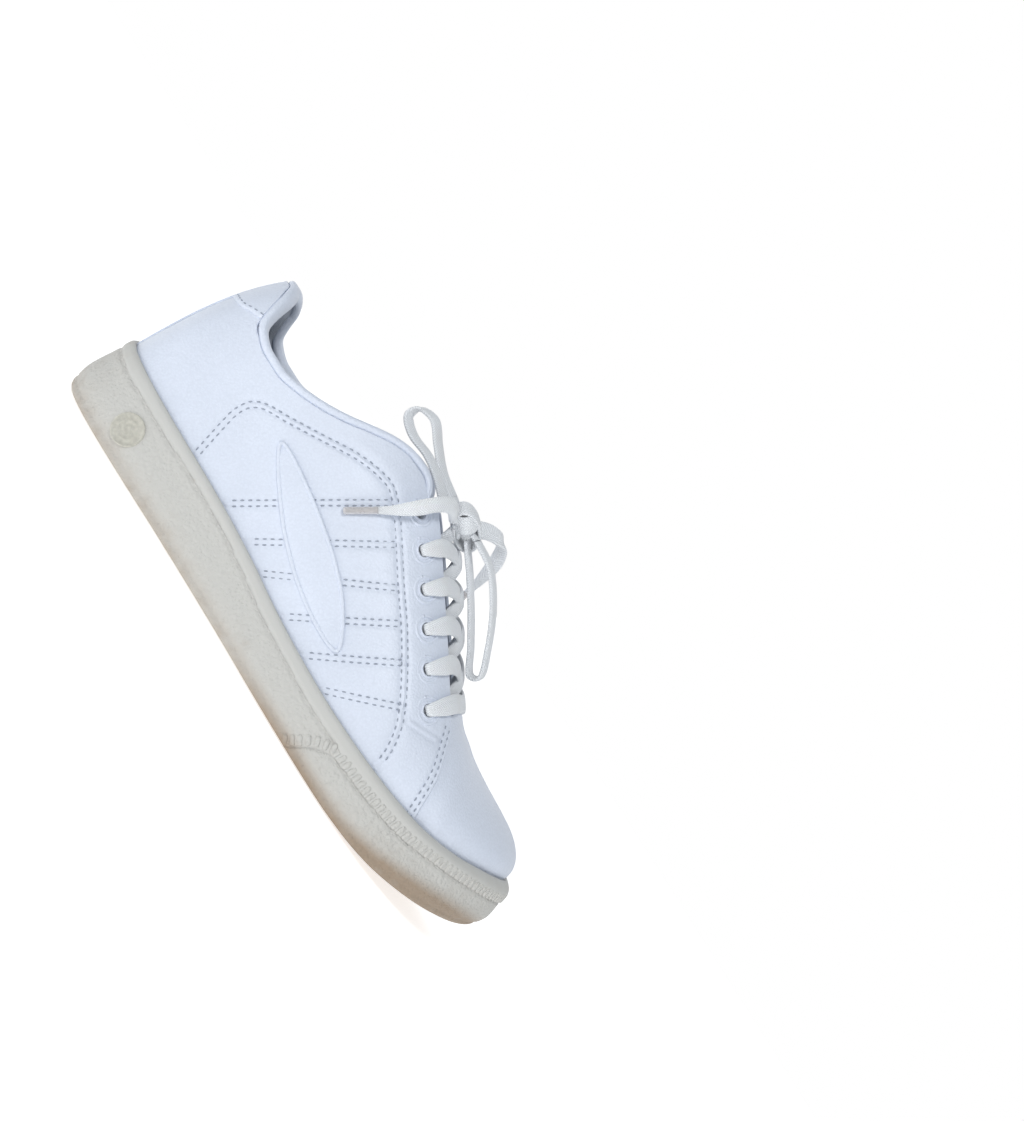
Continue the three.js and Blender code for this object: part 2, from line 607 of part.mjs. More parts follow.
// Raised pad on each side, a plain pointed leaf.
const leaf = new THREE.CatmullRomCurve3(
  APPLIQUE.map(([x, z]) => new THREE.Vector3(x, z, 0)), true, 'catmullrom', 0.45,
);
const leafOutline = leaf.getPoints(16).slice(0, -1).map(({ x, y }) => [x, y]);
const padShell = shellOf(-CLEARANCE - APPLIQUE_THICKNESS, -CLEARANCE);
for (const hand of [-1, 1]) {
  const pad = padShell.intersect(sidePrism(leafOutline, ...halfOf(hand)));
  add(`side_pad_${nameOf(hand)}`, pad, WHITE_LEATHER);
}

// ---- Tongue ---------------------------------------------------------------------------
const laceOut = -(CLEARANCE + LACE_THICKNESS / 2);
const laceIn = liningInner + CLEARANCE + LACE_PLAY + LACE_THICKNESS / 2;
const tongueSkin = laceIn + LACE_THICKNESS / 2 + 4 * CLEARANCE;
const tongueShellInner = tongueSkin + TONGUE_LEATHER;
const tongueFoamOuter = tongueShellInner + CLEARANCE;
const tongueFoamInner = tongueFoamOuter + TONGUE_FOAM;
const tongueLiningOuter = tongueFoamInner + CLEARANCE;
const TONGUE_PLAN = plan([
  [114, -17], [126, -23], [150, -23], [180, -19], [199, -14], [199, 17], [180, 22], [150, 24],
  [126, 23], [114, 17], [110.5, 8], [110, 0], [110.5, -8],
]);
const tonguePrism = planPrism(TONGUE_PLAN, 30 * gradeZ, 125 * gradeZ);
const tongueDeep = 20 * gradeZ;
const tongueSide = sidePrism([
  [104 * gradeX, SHOE_HEIGHT], ...RIDGE.slice(4).map(([x, z]) => [x, z + 2]),
  ...RIDGE.slice(4).map(([x, z]) => [x - 8, z - tongueDeep]).reverse(), [104 * gradeX, 80 * gradeZ],
]);
const tongueClear = rollBand(TONGUE_PLAY);
const tongueBlock = tonguePrism.intersect(tongueSide).subtract(tongueClear);
// `above` is the depth where the layer over this one ends, so that a folded corner stays under it.
const tongueLayer = (above, outer, inner) => mainBody(
  shellOf(outer, inner).intersect(lastSolid(above, 0)).intersect(tongueBlock),
);
add('tongue_shell', tongueLayer(tongueSkin, tongueSkin, tongueShellInner), WHITE_LEATHER);
add('tongue_foam', tongueLayer(tongueShellInner, tongueFoamOuter, tongueFoamInner), FOAM);
const tongueLiningInner = tongueLiningOuter + LINING;
add('tongue_lining', tongueLayer(tongueFoamInner, tongueLiningOuter, tongueLiningInner), LINING_CLOTH);

// ---- Laces ----------------------------------------------------------------------------
const holeWidth = EYELET_HOLE - 4 * CLEARANCE;
const UP = new THREE.Vector3(0, 0, 1);

// Place over the throat: x along the shoe, y across, at a depth below the ridge.
function overThroat(x, y, depth) {
  const slope = (ridgeHeight(x + 1) - ridgeHeight(x - 1)) / 2;
  const normal = new THREE.Vector3(-slope, 0, 1).normalize();
  return new THREE.Vector3(x, ridgeSide(x) + y, ridgeHeight(x)).addScaledVector(normal, -depth);
}

// Place beside an eyelet where the lace crosses the edge of the stay, or `rise` above that edge.
const edgeSite = (hand, index, depth, rise) => {
  const x = EYELETS[index][0] + 3.4 * gradeX;
  return inwards(skinAt(hand, x, collarLine(x) + rise, 0), depth);
};
const overEdge = (hand, index) => edgeSite(hand, index, laceOut - CLEARANCE, 0);
const underEdge = (hand, index) => edgeSite(hand, index, laceIn + CLEARANCE, 0.8 * gradeZ);

const toStation = (station, width) => ({ ...station, width });
const outerEnd = (hand, index) => toStation(inwards(sites[hand][index], laceOut), holeWidth + 1.6);
const innerEnd = (hand, index) => toStation(inwards(sites[hand][index], laceIn), holeWidth);

// One strand from the outside of one eyelet over the throat to the inside of the other side's next one.
function strand(hand, index) {
  const middleX = (EYELETS[index][0] + EYELETS[index + 1][0]) / 2 + 4 * gradeX;
  return [
    outerEnd(hand, index),
    toStation(overEdge(hand, index), LACE_WIDTH * 0.86),
    { point: overThroat(middleX, 0, 0.6), normal: UP, width: LACE_WIDTH * 0.86 },
    toStation(underEdge(-hand, index + 1), LACE_WIDTH * 0.8),
    innerEnd(-hand, index + 1),
  ];
}

function strandSolid(stations) {
  const line = new THREE.CatmullRomCurve3(stations.map(({ point }) => point), false, 'centripetal');
  const steps = 8;
  return ribbon(Array.from({ length: steps + 1 }, (_, i) => {
    const place = (i / steps) * (stations.length - 1);
    const first = Math.min(stations.length - 2, Math.floor(place));
    const share = place - first;
    const normal = stations[first].normal.clone().lerp(stations[first + 1].normal, share).normalize();
    const width = stations[first].width + (stations[first + 1].width - stations[first].width) * share;
    return { point: line.getPoint(i / steps), normal, width };
  }), LACE_THICKNESS);
}

const holePlug = (hand, index) => {
  const { point, normal } = sites[hand][index];
  const long = laceIn - laceOut + 2 * CLEARANCE;
  const centre = point.clone().addScaledVector(normal, -(laceIn + laceOut) / 2);
  return cylinderAlong(centre, normal, EYELET_HOLE / 2 - 2 * CLEARANCE, long, HOLE_SIDES);
};

let lace = holePlug(-1, 1);
for (const hand of [-1, 1]) {
  for (let i = 1; i < EYELET_COUNT; i += 1) {
    lace = lace.add(holePlug(hand, i));
    if (i + 1 < EYELET_COUNT) lace = lace.add(strandSolid(strand(hand, i)));
  }
}
// The bar across the lowest pair and the two strands rising from the second pair to the knot.
const lowest = EYELET_COUNT - 1;
const barX = EYELETS[lowest][0] + 6.5 * gradeX;
lace = lace.add(strandSolid([
  outerEnd(-1, lowest),
  toStation(overEdge(-1, lowest), LACE_WIDTH),
  { point: overThroat(barX, 0, -1.4), normal: UP, width: LACE_WIDTH },
  toStation(overEdge(1, lowest), LACE_WIDTH),
  outerEnd(1, lowest),
]));
const KNOT = plan([[129, 0]])[0];
const knotPoint = overThroat(KNOT[0], KNOT[1], -KNOT_SIZE[2] / 2 - KNOT_GAP);
const knotTilt = Math.atan2(ridgeHeight(KNOT[0] - 1) - ridgeHeight(KNOT[0] + 1), 2);
for (const hand of [-1, 1]) {
  lace = lace.add(strandSolid([
    innerEnd(hand, 1),
    toStation(underEdge(hand, 1), LACE_WIDTH * 0.8),
    { point: overThroat(KNOT[0] + 3, 3 * hand, 0.4), normal: UP, width: LACE_WIDTH * 0.8 },
  ]));
}
// The lace keeps clear of every layer of the upper, save in the punched holes.
const lacedHole = EYELET_HOLE / 2 - CLEARANCE;
const openHoles = (solid) => [-1, 1].reduce((piece, hand) => sites[hand].reduce((rest, site) => (
  rest.subtract(cylinderAlong(site.point, site.normal, lacedHole, PUNCH_REACH, HOLE_SIDES))
), piece), solid);
const blockOf = (outer, inner, rise) => openHoles(shellOf(outer, inner).intersect(
  sidePrism(quarterOutline.map(([x, z], i) => [x, i < throatPoints.length ? z + rise : z])),
));
const threaded = mainBody(
  lace.subtract(blockOf(-CLEARANCE, backing, CLEARANCE))
    .subtract(blockOf(LEATHER, liningOuter, CLEARANCE - INNER_EDGE_STEP / 2))
    .subtract(blockOf(backing + STIFFENER, liningInner + CLEARANCE, CLEARANCE - INNER_EDGE_STEP)),
);
add('lace_threaded', threaded, LACE_CLOTH);

const knotSolid = (() => {
  const geometry = new THREE.SphereGeometry(1, 14, 10);
  geometry.scale(KNOT_SIZE[0] / 2, KNOT_SIZE[1] / 2, KNOT_SIZE[2] / 2);
  geometry.rotateY(knotTilt);
  geometry.translate(knotPoint.x, knotPoint.y, knotPoint.z);
  return toManifold(geometry);
})();
add('lace_knot', mainBody(knotSolid.subtract(lace)), LACE_CLOTH);

// Free ends of the lace, from just clear of the knot. A loop's flat faces look along its own plane.
const FREE_ENDS = {
  lace_loop_rear: {
    across: [0.25, 0.85, 0.45],
    points: [
      [118.4, 3, 105.6], [108, 4, 107.5], [97, 5, 112], [87, 5, 116.4], [80.5, 4, 113.6],
      [80.5, 2, 108.4], [88, 0, 105.6], [99, -1, 106.2], [109, -2, 104.6], [118.2, -3, 101.6],
    ],
  },
  lace_loop_front: {
    across: [0.1, 0.9, 0.3],
    points: [
      [139.6, -3, 104.6], [151, -4, 103.2], [165, -5, 96], [179, -5, 84.6], [187, -4, 75.6],
      [184.2, -1, 72.6], [175, 1, 78.6], [163, 2, 86.4], [150, 2, 94], [139.8, 2, 99.4],
    ],
  },
  lace_tail_lateral: {
    across: [0.75, 0.1, -0.65],
    points: [
      [125.5, -11.2, 102.4], [122, -19, 103.4], [119, -27, 99], [116, -31, 91.5], [112.5, -32.5, 84.5],
      [108.5, -33.5, 78],
    ],
  },
  lace_tail_medial: {
    across: [0.9, 0.3, -0.3],
    points: [
      [133, 11.2, 104.6], [138.5, 15.5, 110.5], [145, 21, 112.5], [150, 27, 107], [153, 31, 97.5],
      [155, 34, 88],
    ],
  },
};
const FREE_WIDTH = 0.8 * LACE_WIDTH;
function freeEnd({ across, points }) {
  const route = points.map(([x, y, z]) => new THREE.Vector3(x * gradeX, y * gradeY, z * gradeZ));
  const line = new THREE.CatmullRomCurve3(route, false, 'centripetal');
  const flat = new THREE.Vector3(...across).normalize();
  const steps = 3 * (points.length - 1);
  return Array.from({ length: steps + 1 }, (_, i) => {
    const along = line.getTangent(i / steps);
    const normal = flat.clone().cross(along).normalize();
    return { point: line.getPoint(i / steps), normal, width: FREE_WIDTH };
  });
}
for (const [name, route] of Object.entries(FREE_ENDS)) {
  const stations = freeEnd(route);
  add(name, ribbon(stations, LACE_THICKNESS), LACE_CLOTH);
  if (!name.includes('tail')) continue;
  const end = stations.at(-1).point;
  const along = end.clone().sub(stations.at(-2).point).normalize();
  const middle = end.clone().addScaledVector(along, AGLET_LENGTH / 2 + CLEARANCE);
  const aglet = cylinderAlong(middle, along, AGLET_DIAMETER / 2, AGLET_LENGTH, 10);
  add(name.replace('lace_tail', 'aglet'), aglet, AGLET_PLASTIC);
}

// The origin is under the middle of the sole.
const soleBox = new THREE.Box3().setFromPoints(outlineCurve.getSpacedPoints(400));
const middle = soleBox.getCenter(new THREE.Vector3());
shoe.position.set(-middle.x, -middle.y, 0);

export default shoe;
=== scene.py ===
"""Court shoe for the right foot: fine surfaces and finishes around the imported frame.

Shapes are worked out in millimetres in the pattern's own place and put into the frame, in metres,
when their mesh is made. The upper is made of layers of one last, a surface of two parameters: u runs
from heel to toe and v from the wall of the cup up to the ridge over the foot.
"""
import logging
import math
from dataclasses import dataclass, field
from enum import Enum
from typing import Callable, Sequence

import bmesh
import bpy
import numpy as np
from mathutils import Matrix, Vector


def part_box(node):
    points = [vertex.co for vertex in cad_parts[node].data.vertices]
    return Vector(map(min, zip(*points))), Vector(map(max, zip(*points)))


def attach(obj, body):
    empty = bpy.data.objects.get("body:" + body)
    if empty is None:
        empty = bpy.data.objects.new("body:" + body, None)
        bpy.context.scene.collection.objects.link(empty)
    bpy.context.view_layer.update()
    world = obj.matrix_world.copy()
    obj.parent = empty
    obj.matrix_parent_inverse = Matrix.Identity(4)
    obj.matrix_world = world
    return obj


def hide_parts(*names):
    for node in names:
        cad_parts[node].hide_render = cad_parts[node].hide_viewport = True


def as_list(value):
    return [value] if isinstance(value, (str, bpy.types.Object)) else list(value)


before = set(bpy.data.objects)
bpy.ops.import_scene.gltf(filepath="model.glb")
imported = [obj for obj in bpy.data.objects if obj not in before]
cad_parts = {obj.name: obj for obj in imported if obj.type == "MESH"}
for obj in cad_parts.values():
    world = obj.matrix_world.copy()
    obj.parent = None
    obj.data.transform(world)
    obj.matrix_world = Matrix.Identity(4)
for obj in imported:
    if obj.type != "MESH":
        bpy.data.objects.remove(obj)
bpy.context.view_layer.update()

log = logging.getLogger("court_shoe")
Array = np.ndarray
Route = Sequence[Sequence[float]]

# ---- Sizes shared by the sub-assemblies, in millimetres -------------------------------------
CLEARANCE = 0.3
SEAT_DEPTH = 8.0
COLLAR_ROLL_HEIGHT = 4.2
COLLAR_BAND = 24.0
LACE_WIDTH = 8.0
LACE_LOFT = 1.9
FREE_WIDTH = 0.8 * LACE_WIDTH
EYELET_HOLE = 5.0
LINING_OUTSIDE = 3.4
LINING_DEPTH = 4.5
COLLAR_LINING_DEPTH = 6.7
LACE_INSIDE = 6.55
TONGUE_SKIN = 8.4
TONGUE_THICKNESS = 6.6

# ---- Shares of the last's v: where the cup's wall ends and where the panels' lower edge lies --
WALL_SHARE = 1 / 8
PANEL_FOOT = 0.04

# ---- Pattern: places in side view (x, z) and in plan (x, y) ---------------------------------
SOLE_OUTLINE = [
    [-6.8, 0], [1, -24], [14, -33], [36, -37], [72, -38], [110, -42], [150, -49.5], [186, -53],
    [220, -48.5], [248, -33.5], [266, -13], [272.5, 7], [266, 27], [247, 41.5], [218, 49], [186, 48],
    [150, 41], [110, 33.5], [72, 32.5], [36, 34.5], [14, 31.5], [1, 23],
]
TOP_LINE = [
    [-8, 31.4], [27, 29.8], [60, 29], [80, 28.2], [100, 26.8], [120, 24.8], [140, 23.7], [160, 23.3],
    [180, 23.8], [200, 25], [220, 27.2], [240, 32], [252, 36.2], [264, 39.7], [274, 41],
]
TREAD_LINE = [
    [-8, 1], [4, 0], [60, 0], [120, 0], [190, 0], [206, 0.6], [220, 2], [240, 6.2], [260, 12.6], [274, 19.6],
]
RIDGE = [
    [34, 124], [60, 126], [80, 122.5], [100, 113.5], [120, 103.5], [137, 95.5], [160, 82.6],
    [180, 69.8], [190, 63.6], [198, 59.4], [208, 56], [220, 54.2], [238, 53],
]
RIDGE_SIDE = [[34, 0], [120, 0], [200, 3], [238, 7]]
COLLAR_LINE = [
    [-10, 99.4], [11.6, 99.2], [14.5, 97], [17.4, 90], [20.3, 83.5], [25, 79.5], [33, 77.2], [41, 77.2],
    [50, 79.5], [60, 83.6], [70, 89.3], [79.5, 96], [89, 101.7], [97, 104.3], [105, 104.7], [112, 103],
    [120, 99], [137, 90.3], [160, 77.8], [180, 66.6], [198, 56.4],
]
FRONT_SEAM = [[198, 56.4], [203.5, 50.4], [210, 42.6], [215, 33], [219, 24], [221, 10]]
HEEL_TAB = [[3, 74], [9.7, 75], [13.6, 77], [19.4, 79.6]]
TAB_END = [[21, 82], [22.5, 92], [23, 125]]
EYELETS = [(118, 91.8), (131.5, 84.8), (145, 77.2), (158.5, 69.6), (172, 61.8), (185.5, 53.6)]
GROOVE_LINE = [
    [-8, 24.9], [20, 23.8], [56, 23.8], [80, 23.3], [100, 21.3], [120, 18.8], [140, 17.8], [160, 17],
    [179, 17.4], [200, 19.3], [220, 22], [240, 27.2], [260, 33.2], [274, 36.5],
]
RIB_LINE = [
    [167, 0.5], [169.5, 4], [172.5, 8.7], [176, 12], [181, 14.4], [200, 16], [220, 18.8], [240, 24.2],
    [260, 30], [274, 33.6],
]
PANEL_STITCH = [
    [52, 30], [48.4, 42.6], [46, 52.3], [46.5, 58], [49.4, 62], [60, 67.8], [73.6, 75.6], [85.3, 82.4],
    [95, 86.2], [103, 87.6], [110.5, 85.3], [122, 79.5], [138, 70.7], [153, 63], [165, 55.8],
    [176, 48.4], [184, 41.7], [190, 33], [193, 25],
]
SLANTED_STITCHES = [
    [[108.5, 84], [74.6, 29.5]], [[124, 77.5], [92, 29]], [[138.6, 68.8], [104.7, 26]],
    [[151, 62.4], [124, 25.2]], [[164.7, 55.8], [140.5, 23.6]], [[179, 46.5], [156, 23.3]],
]
LEAF = [[66, 60.5], [100, 57.5], [132, 48], [147, 36.5], [128, 35.5], [96, 43.5]]
BADGE_AT = (30.0, 12.8)

# Routes of the lace's free ends, listed from just clear of the knot.
FREE_ENDS = {
    "lace_loop_rear": ((0.25, 0.85, 0.45), [
        [118.4, 3, 105.6], [108, 4, 107.5], [97, 5, 112], [87, 5, 116.4], [80.5, 4, 113.6],
        [80.5, 2, 108.4], [88, 0, 105.6], [99, -1, 106.2], [109, -2, 104.6], [118.2, -3, 101.6],
    ]),
    "lace_loop_front": ((0.1, 0.9, 0.3), [
        [139.6, -3, 104.6], [151, -4, 103.2], [165, -5, 96], [179, -5, 84.6], [187, -4, 75.6],
        [184.2, -1, 72.6], [175, 1, 78.6], [163, 2, 86.4], [150, 2, 94], [139.8, 2, 99.4],
    ]),
    "lace_tail_lateral": ((0.75, 0.1, -0.65), [
        [125.5, -11.2, 102.4], [122, -19, 103.4], [119, -27, 99], [116, -31, 91.5],
        [112.5, -32.5, 84.5], [108.5, -33.5, 78],
    ]),
    "lace_tail_medial": ((0.9, 0.3, -0.3), [
        [133, 11.2, 104.6], [138.5, 15.5, 110.5], [145, 21, 112.5], [150, 27, 107],
        [153, 31, 97.5], [155, 34, 88],
    ]),
}


class Hand(Enum):
    """Side of the shoe: the outer side lies at -Y."""

    LATERAL = -1
    MEDIAL = 1


# ---- Curves ---------------------------------------------------------------------------------
def smooth(t: Array | float) -> Array:
    """Smooth step from 0 to 1."""
    c = np.clip(t, 0, 1)
    return c * c * (3 - 2 * c)


class SmoothLine:
    """Function y(x) through points of growing x, a monotone cubic between them."""

    def __init__(self, points: Route) -> None:
        """Works out the slopes: the harmonic mean of the two chords, level where they turn.

        Args:
            points: places [x, y] with x growing.
        """
        self.x, self.y = np.array(points, float).T
        chord = np.diff(self.y) / np.diff(self.x)
        product = chord[:-1] * chord[1:]
        total = chord[:-1] + chord[1:]
        mean = 2 * product / np.where(total == 0, 1, total)
        self.slope = np.concatenate([chord[:1], np.where(product > 0, mean, 0), chord[-1:]])

    def __call__(self, at: Array | float) -> Array:
        """Height at each x, held level beyond both ends.

        Args:
            at: the x values.

        Returns:
            The heights.
        """
        at = np.clip(at, self.x[0], self.x[-1])
        i = np.clip(np.searchsorted(self.x, at, side="right") - 1, 0, len(self.x) - 2)
        span = self.x[i + 1] - self.x[i]
        rise = self.y[i + 1] - self.y[i]
        t = (at - self.x[i]) / span
        a = self.slope[i] * span - rise
        b = rise - self.slope[i + 1] * span
        return self.y[i] + t * rise + t * (1 - t) * (a * (1 - t) + b * t)


def rounded_run(points: Route, closed: bool, per: int) -> Array:
    """Centripetal Catmull-Rom curve through points, sampled evenly in each span.

    Args:
        points: places of two or three numbers.
        closed: whether the curve returns to its start.
        per: samples in each span.

    Returns:
        The places on the curve, one row each.
    """
    p = np.array(points, float)
    if closed:
        p = np.concatenate([p[-1:], p, p[:2]])
    else:
        p = np.concatenate([2 * p[:1] - p[1:2], p, 2 * p[-1:] - p[-2:-1]])
    knot = np.linalg.norm(np.diff(p, axis=0), axis=1) ** 0.5
    d0, d1, d2 = knot[:-2, None], knot[1:-1, None], knot[2:, None]
    p0, p1, p2, p3 = p[:-3], p[1:-2], p[2:-1], p[3:]
    m1 = ((p1 - p0) / d0 - (p2 - p0) / (d0 + d1) + (p2 - p1) / d1) * d1
    m2 = ((p2 - p1) / d1 - (p3 - p1) / (d1 + d2) + (p3 - p2) / d2) * d1
    t = (np.arange(per) / per)[None, :, None]
    m1, m2, p1, p2 = (a[:, None, :] for a in (m1, m2, p1, p2))
    curve = p1 + m1 * t + (3 * (p2 - p1) - 2 * m1 - m2) * t**2 + (2 * (p1 - p2) + m1 + m2) * t**3
    curve = curve.reshape(-1, p.shape[1])
    return curve if closed else np.concatenate([curve, p[-2:-1]])


def run_length(points: Array) -> Array:
    """Distance along a run of places, from its start."""
    return np.concatenate([[0], np.cumsum(np.linalg.norm(np.diff(points, axis=0), axis=1))])


def resample(points: Array, count: int) -> Array:
    """The same run with its places at even distances.

    Args:
        points: places, one row each.
        count: how many places to give.

    Returns:
        The new places.
    """
    along = run_length(points)
    at = np.linspace(0, along[-1], count)
    return np.stack([np.interp(at, along, column) for column in points.T], 1)


def unit(vectors: Array) -> Array:
    """The same vectors, in the last axis, with length 1."""
    return vectors / np.maximum(np.linalg.norm(vectors, axis=-1, keepdims=True), 1e-9)


def directions(points: Array) -> Array:
    """Unit direction of a run at each of its places."""
    return unit(np.gradient(points, axis=0))


def near_edge(at: Array) -> Array:
    """Edge at the heel or the foot: 0 at every place."""
    return at * 0


def far_edge(at: Array) -> Array:
    """Edge at the toe or the ridge: 1 at every place."""
    return at * 0 + 1


def foot_edge(at: Array) -> Array:
    """Lower edge of the panels, inside the cup."""
    return at * 0 + PANEL_FOOT


def distance_to(run: Route, x: Array, z: Array) -> Array:
    """Distance in side view from each place (x, z) to a run of straight pieces.

    Args:
        run: the run's corners.
        x: distance of each place along the shoe.
        z: height of each place.

    Returns:
        The distances.
    """
    run = np.array(run, float)
    best = np.full(np.shape(x), 1e9)
    for a, b in zip(run[:-1], run[1:]):
        d = b - a
        t = np.clip(((x - a[0]) * d[0] + (z - a[1]) * d[1]) / (d @ d), 0, 1)
        best = np.minimum(best, np.hypot(x - a[0] - t * d[0], z - a[1] - t * d[1]))
    return best


# ---- The last -------------------------------------------------------------------------------
class Last:
    """Shape of the foot that the upper is drawn over, with the outline of the sole round it."""

    def __init__(self) -> None:
        """Samples the outline by its length and keeps the pattern's lines."""
        run = rounded_run(SOLE_OUTLINE, True, 90)
        run = np.concatenate([run, run[:1]])
        self.run = run
        self.share = run_length(run) / run_length(run)[-1]
        self.along = directions(run)
        self.perimeter = run_length(run)[-1]
        self.toe_share = self.share[np.argmax(run[:, 0])]
        self.top = SmoothLine(TOP_LINE)
        self.tread = SmoothLine(TREAD_LINE)
        self.ridge = SmoothLine(RIDGE)
        self.ridge_side = SmoothLine(RIDGE_SIDE)
        self.collar = SmoothLine(COLLAR_LINE)
        low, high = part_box("outsole")
        self.origin = np.array([run[:, 0].min() - low.x * 1000, run[:, 1].min() - low.y * 1000, 0])
        log.info("origin of the pattern %s, sole %.1f mm long", self.origin, (high.x - low.x) * 1000)

    def outline(self, hand: int, u: Array, inset: Array | float) -> Array:
        """Places on the outline, moved inwards by an inset.

        Args:
            hand: -1 lateral, 1 medial.
            u: 0 at the heel to 1 at the toe, by length along the outline.
            inset: how far inside the outline.

        Returns:
            Places (x, y) in the last axis.
        """
        u = np.asarray(u, float)
        at = u * self.toe_share if hand < 0 else 1 - u * (1 - self.toe_share)
        x, y = (np.interp(at, self.share, self.run[:, i]) for i in (0, 1))
        dx, dy = (np.interp(at, self.share, self.along[:, i]) for i in (0, 1))
        return np.stack([x - dy * inset, y + dx * inset], -1)

    @staticmethod
    def bead_inset(u: Array) -> Array:
        """How far the bead's inner edge lies inside the widest outline."""
        return 3.6 + 5.2 * smooth((np.asarray(u) - 0.55) / 0.45)

    def point(self, hand: int, u: Array, v: Array) -> Array:
        """The last's skin: an upright wall inside the cup, then a cubic from its top to the ridge.

        Args:
            hand: -1 lateral, 1 medial.
            u: 0 heel to 1 toe.
            v: 0 foot of the wall, WALL_SHARE top of the cup, 1 the ridge.

        Returns:
            Places (x, y, z) in the last axis.
        """
        u, v = np.broadcast_arrays(np.asarray(u, float), np.asarray(v, float))
        foot = self.outline(hand, u, self.bead_inset(u) + CLEARANCE)
        top = self.top(foot[..., 0])
        ridge_x = RIDGE[0][0] + (RIDGE[-1][0] - RIDGE[0][0]) * (0.16 * smooth(u) + 0.84 * u)
        ridge = np.stack([ridge_x, self.ridge_side(ridge_x)], -1)
        ridge_z = self.ridge(ridge_x)
        out = foot - ridge
        reach = np.linalg.norm(out, axis=-1, keepdims=True)
        out = out / reach
        rise = ridge_z - top
        ankle = 1 - smooth((ridge_x - 60) / 50)
        instep = smooth((ridge_x - 115) / 60)
        toe_box = smooth((ridge_x - 200) / 30)
        lean = (1 - ankle) * 2.2 * (1 - smooth((u - 0.9) / 0.1)) - ankle * 1.2
        fullness = 0.64 + 0.24 * ankle - 0.21 * instep + 0.2 * toe_box
        first = foot + out * lean[..., None]
        second = ridge + out * reach * fullness[..., None]
        t = np.clip((v - WALL_SHARE) / (1 - WALL_SHARE), 0, 1)
        b0, b1, b2, b3 = (1 - t) ** 3, 3 * t * (1 - t) ** 2, 3 * t * t * (1 - t), t**3
        flat = sum(b[..., None] * p for b, p in ((b0, foot), (b1, first), (b2, second), (b3, ridge)))
        first_z = top + rise * (0.56 - 0.16 * ankle)
        z = b0 * top + b1 * first_z + b2 * (ridge_z - rise * 0.19 * ankle) + b3 * ridge_z
        wall = top - SEAT_DEPTH * (1 - v / WALL_SHARE)
        return np.concatenate([flat, np.where(v < WALL_SHARE, wall, z)[..., None]], -1)

    def beyond(self, hand: int, u: Array, v: Array) -> Array:
        """The same where u or v runs past an end, onto the other side of the shoe.

        Args:
            hand: -1 lateral, 1 medial.
            u: 0 at the heel to 1 at the toe.
            v: 0 at the foot of the wall to 1 at the ridge.

        Returns:
            Places (x, y, z) in the last axis.
        """
        over = (u < 0) | (u > 1) | (v > 1)
        u_in = np.where(u < 0, -u, np.where(u > 1, 2 - u, u))
        v_in = np.where(v > 1, 2 - v, np.maximum(v, 0))
        other = self.point(-hand, u_in, v_in)
        return np.where(over[..., None], other, self.point(hand, u_in, v_in))

    def skin(self, hand: int, u: Array, v: Array, depth: Array | float) -> tuple[Array, Array]:
        """Places at a depth below the last's skin, measured square to it, and the normals there.

        Args:
            hand: -1 lateral, 1 medial.
            u: 0 at the heel to 1 at the toe.
            v: 0 at the foot of the wall to 1 at the ridge.
            depth: how far below the skin.

        Returns:
            The places and the unit normals, which look outwards.
        """
        step = 0.006
        u, v = np.broadcast_arrays(np.asarray(u, float), np.asarray(v, float))
        ahead = self.beyond(hand, u + step, v) - self.beyond(hand, u - step, v)
        upward = self.beyond(hand, u, v + step) - self.beyond(hand, u, v - step)
        normal = np.cross(ahead, upward) * -hand
        tip = (u > 1 - 2 * step) & (v > 1 - 3 * step)
        if tip.any():
            normal[tip] = self.skin(hand, 1 - 5 * step, 1 - 5 * step, 0.0)[1] * [1, 0, 1]
        normal = unit(normal)
        depth = np.broadcast_to(np.asarray(depth, float), u.shape)
        return self.point(hand, u, v) - normal * depth[..., None], normal

    def v_at(self, hand: int, u: Array, below: Callable[[Array], Array]) -> Array:
        """Row share v on each section u where below(place) turns from true to false, by halving.

        Args:
            hand: -1 lateral, 1 medial.
            u: 0 at the heel to 1 at the toe.
            below: tells which places lie below the edge.

        Returns:
            The row share on each section.
        """
        low, high = np.full(np.shape(u), 0.0), np.full(np.shape(u), 1.0)
        for _ in range(22):
            middle = (low + high) / 2
            under = below(self.point(hand, u, middle))
            low, high = np.where(under, middle, low), np.where(under, high, middle)
        return low

    def u_at(self, hand: int, v: Array, behind: Callable[[Array], Array]) -> Array:
        """Section u on each row v where behind(place) turns from true to false, by halving.

        Args:
            hand: -1 lateral, 1 medial.
            v: 0 at the foot of the wall to 1 at the ridge.
            behind: tells which places lie behind the edge.

        Returns:
            The section on each row.
        """
        low, high = np.full(np.shape(v), 0.0), np.full(np.shape(v), 1.0)
        for _ in range(22):
            middle = (low + high) / 2
            back = behind(self.point(hand, middle, v))
            low, high = np.where(back, middle, low), np.where(back, high, middle)
        return low

    def locate(self, hand: int, x: Array, z: Array) -> tuple[Array, Array]:
        """Parameters (u, v) of the skin at places given in side view, by halving v and then u.

        Args:
            hand: -1 lateral, 1 medial.
            x: distance of each place along the shoe.
            z: height of each place.

        Returns:
            The parameters u and v of each place.
        """
        x, z = np.asarray(x, float), np.asarray(z, float)
        low, high = np.full(x.shape, 0.02), np.full(x.shape, 0.99)
        for _ in range(16):
            middle = (low + high) / 2
            u = self.u_at(hand, middle, lambda p: p[..., 0] < x)
            under = self.point(hand, u, middle)[..., 2] < z
            low, high = np.where(under, middle, low), np.where(under, high, middle)
        return self.u_at(hand, low, lambda p: p[..., 0] < x), low

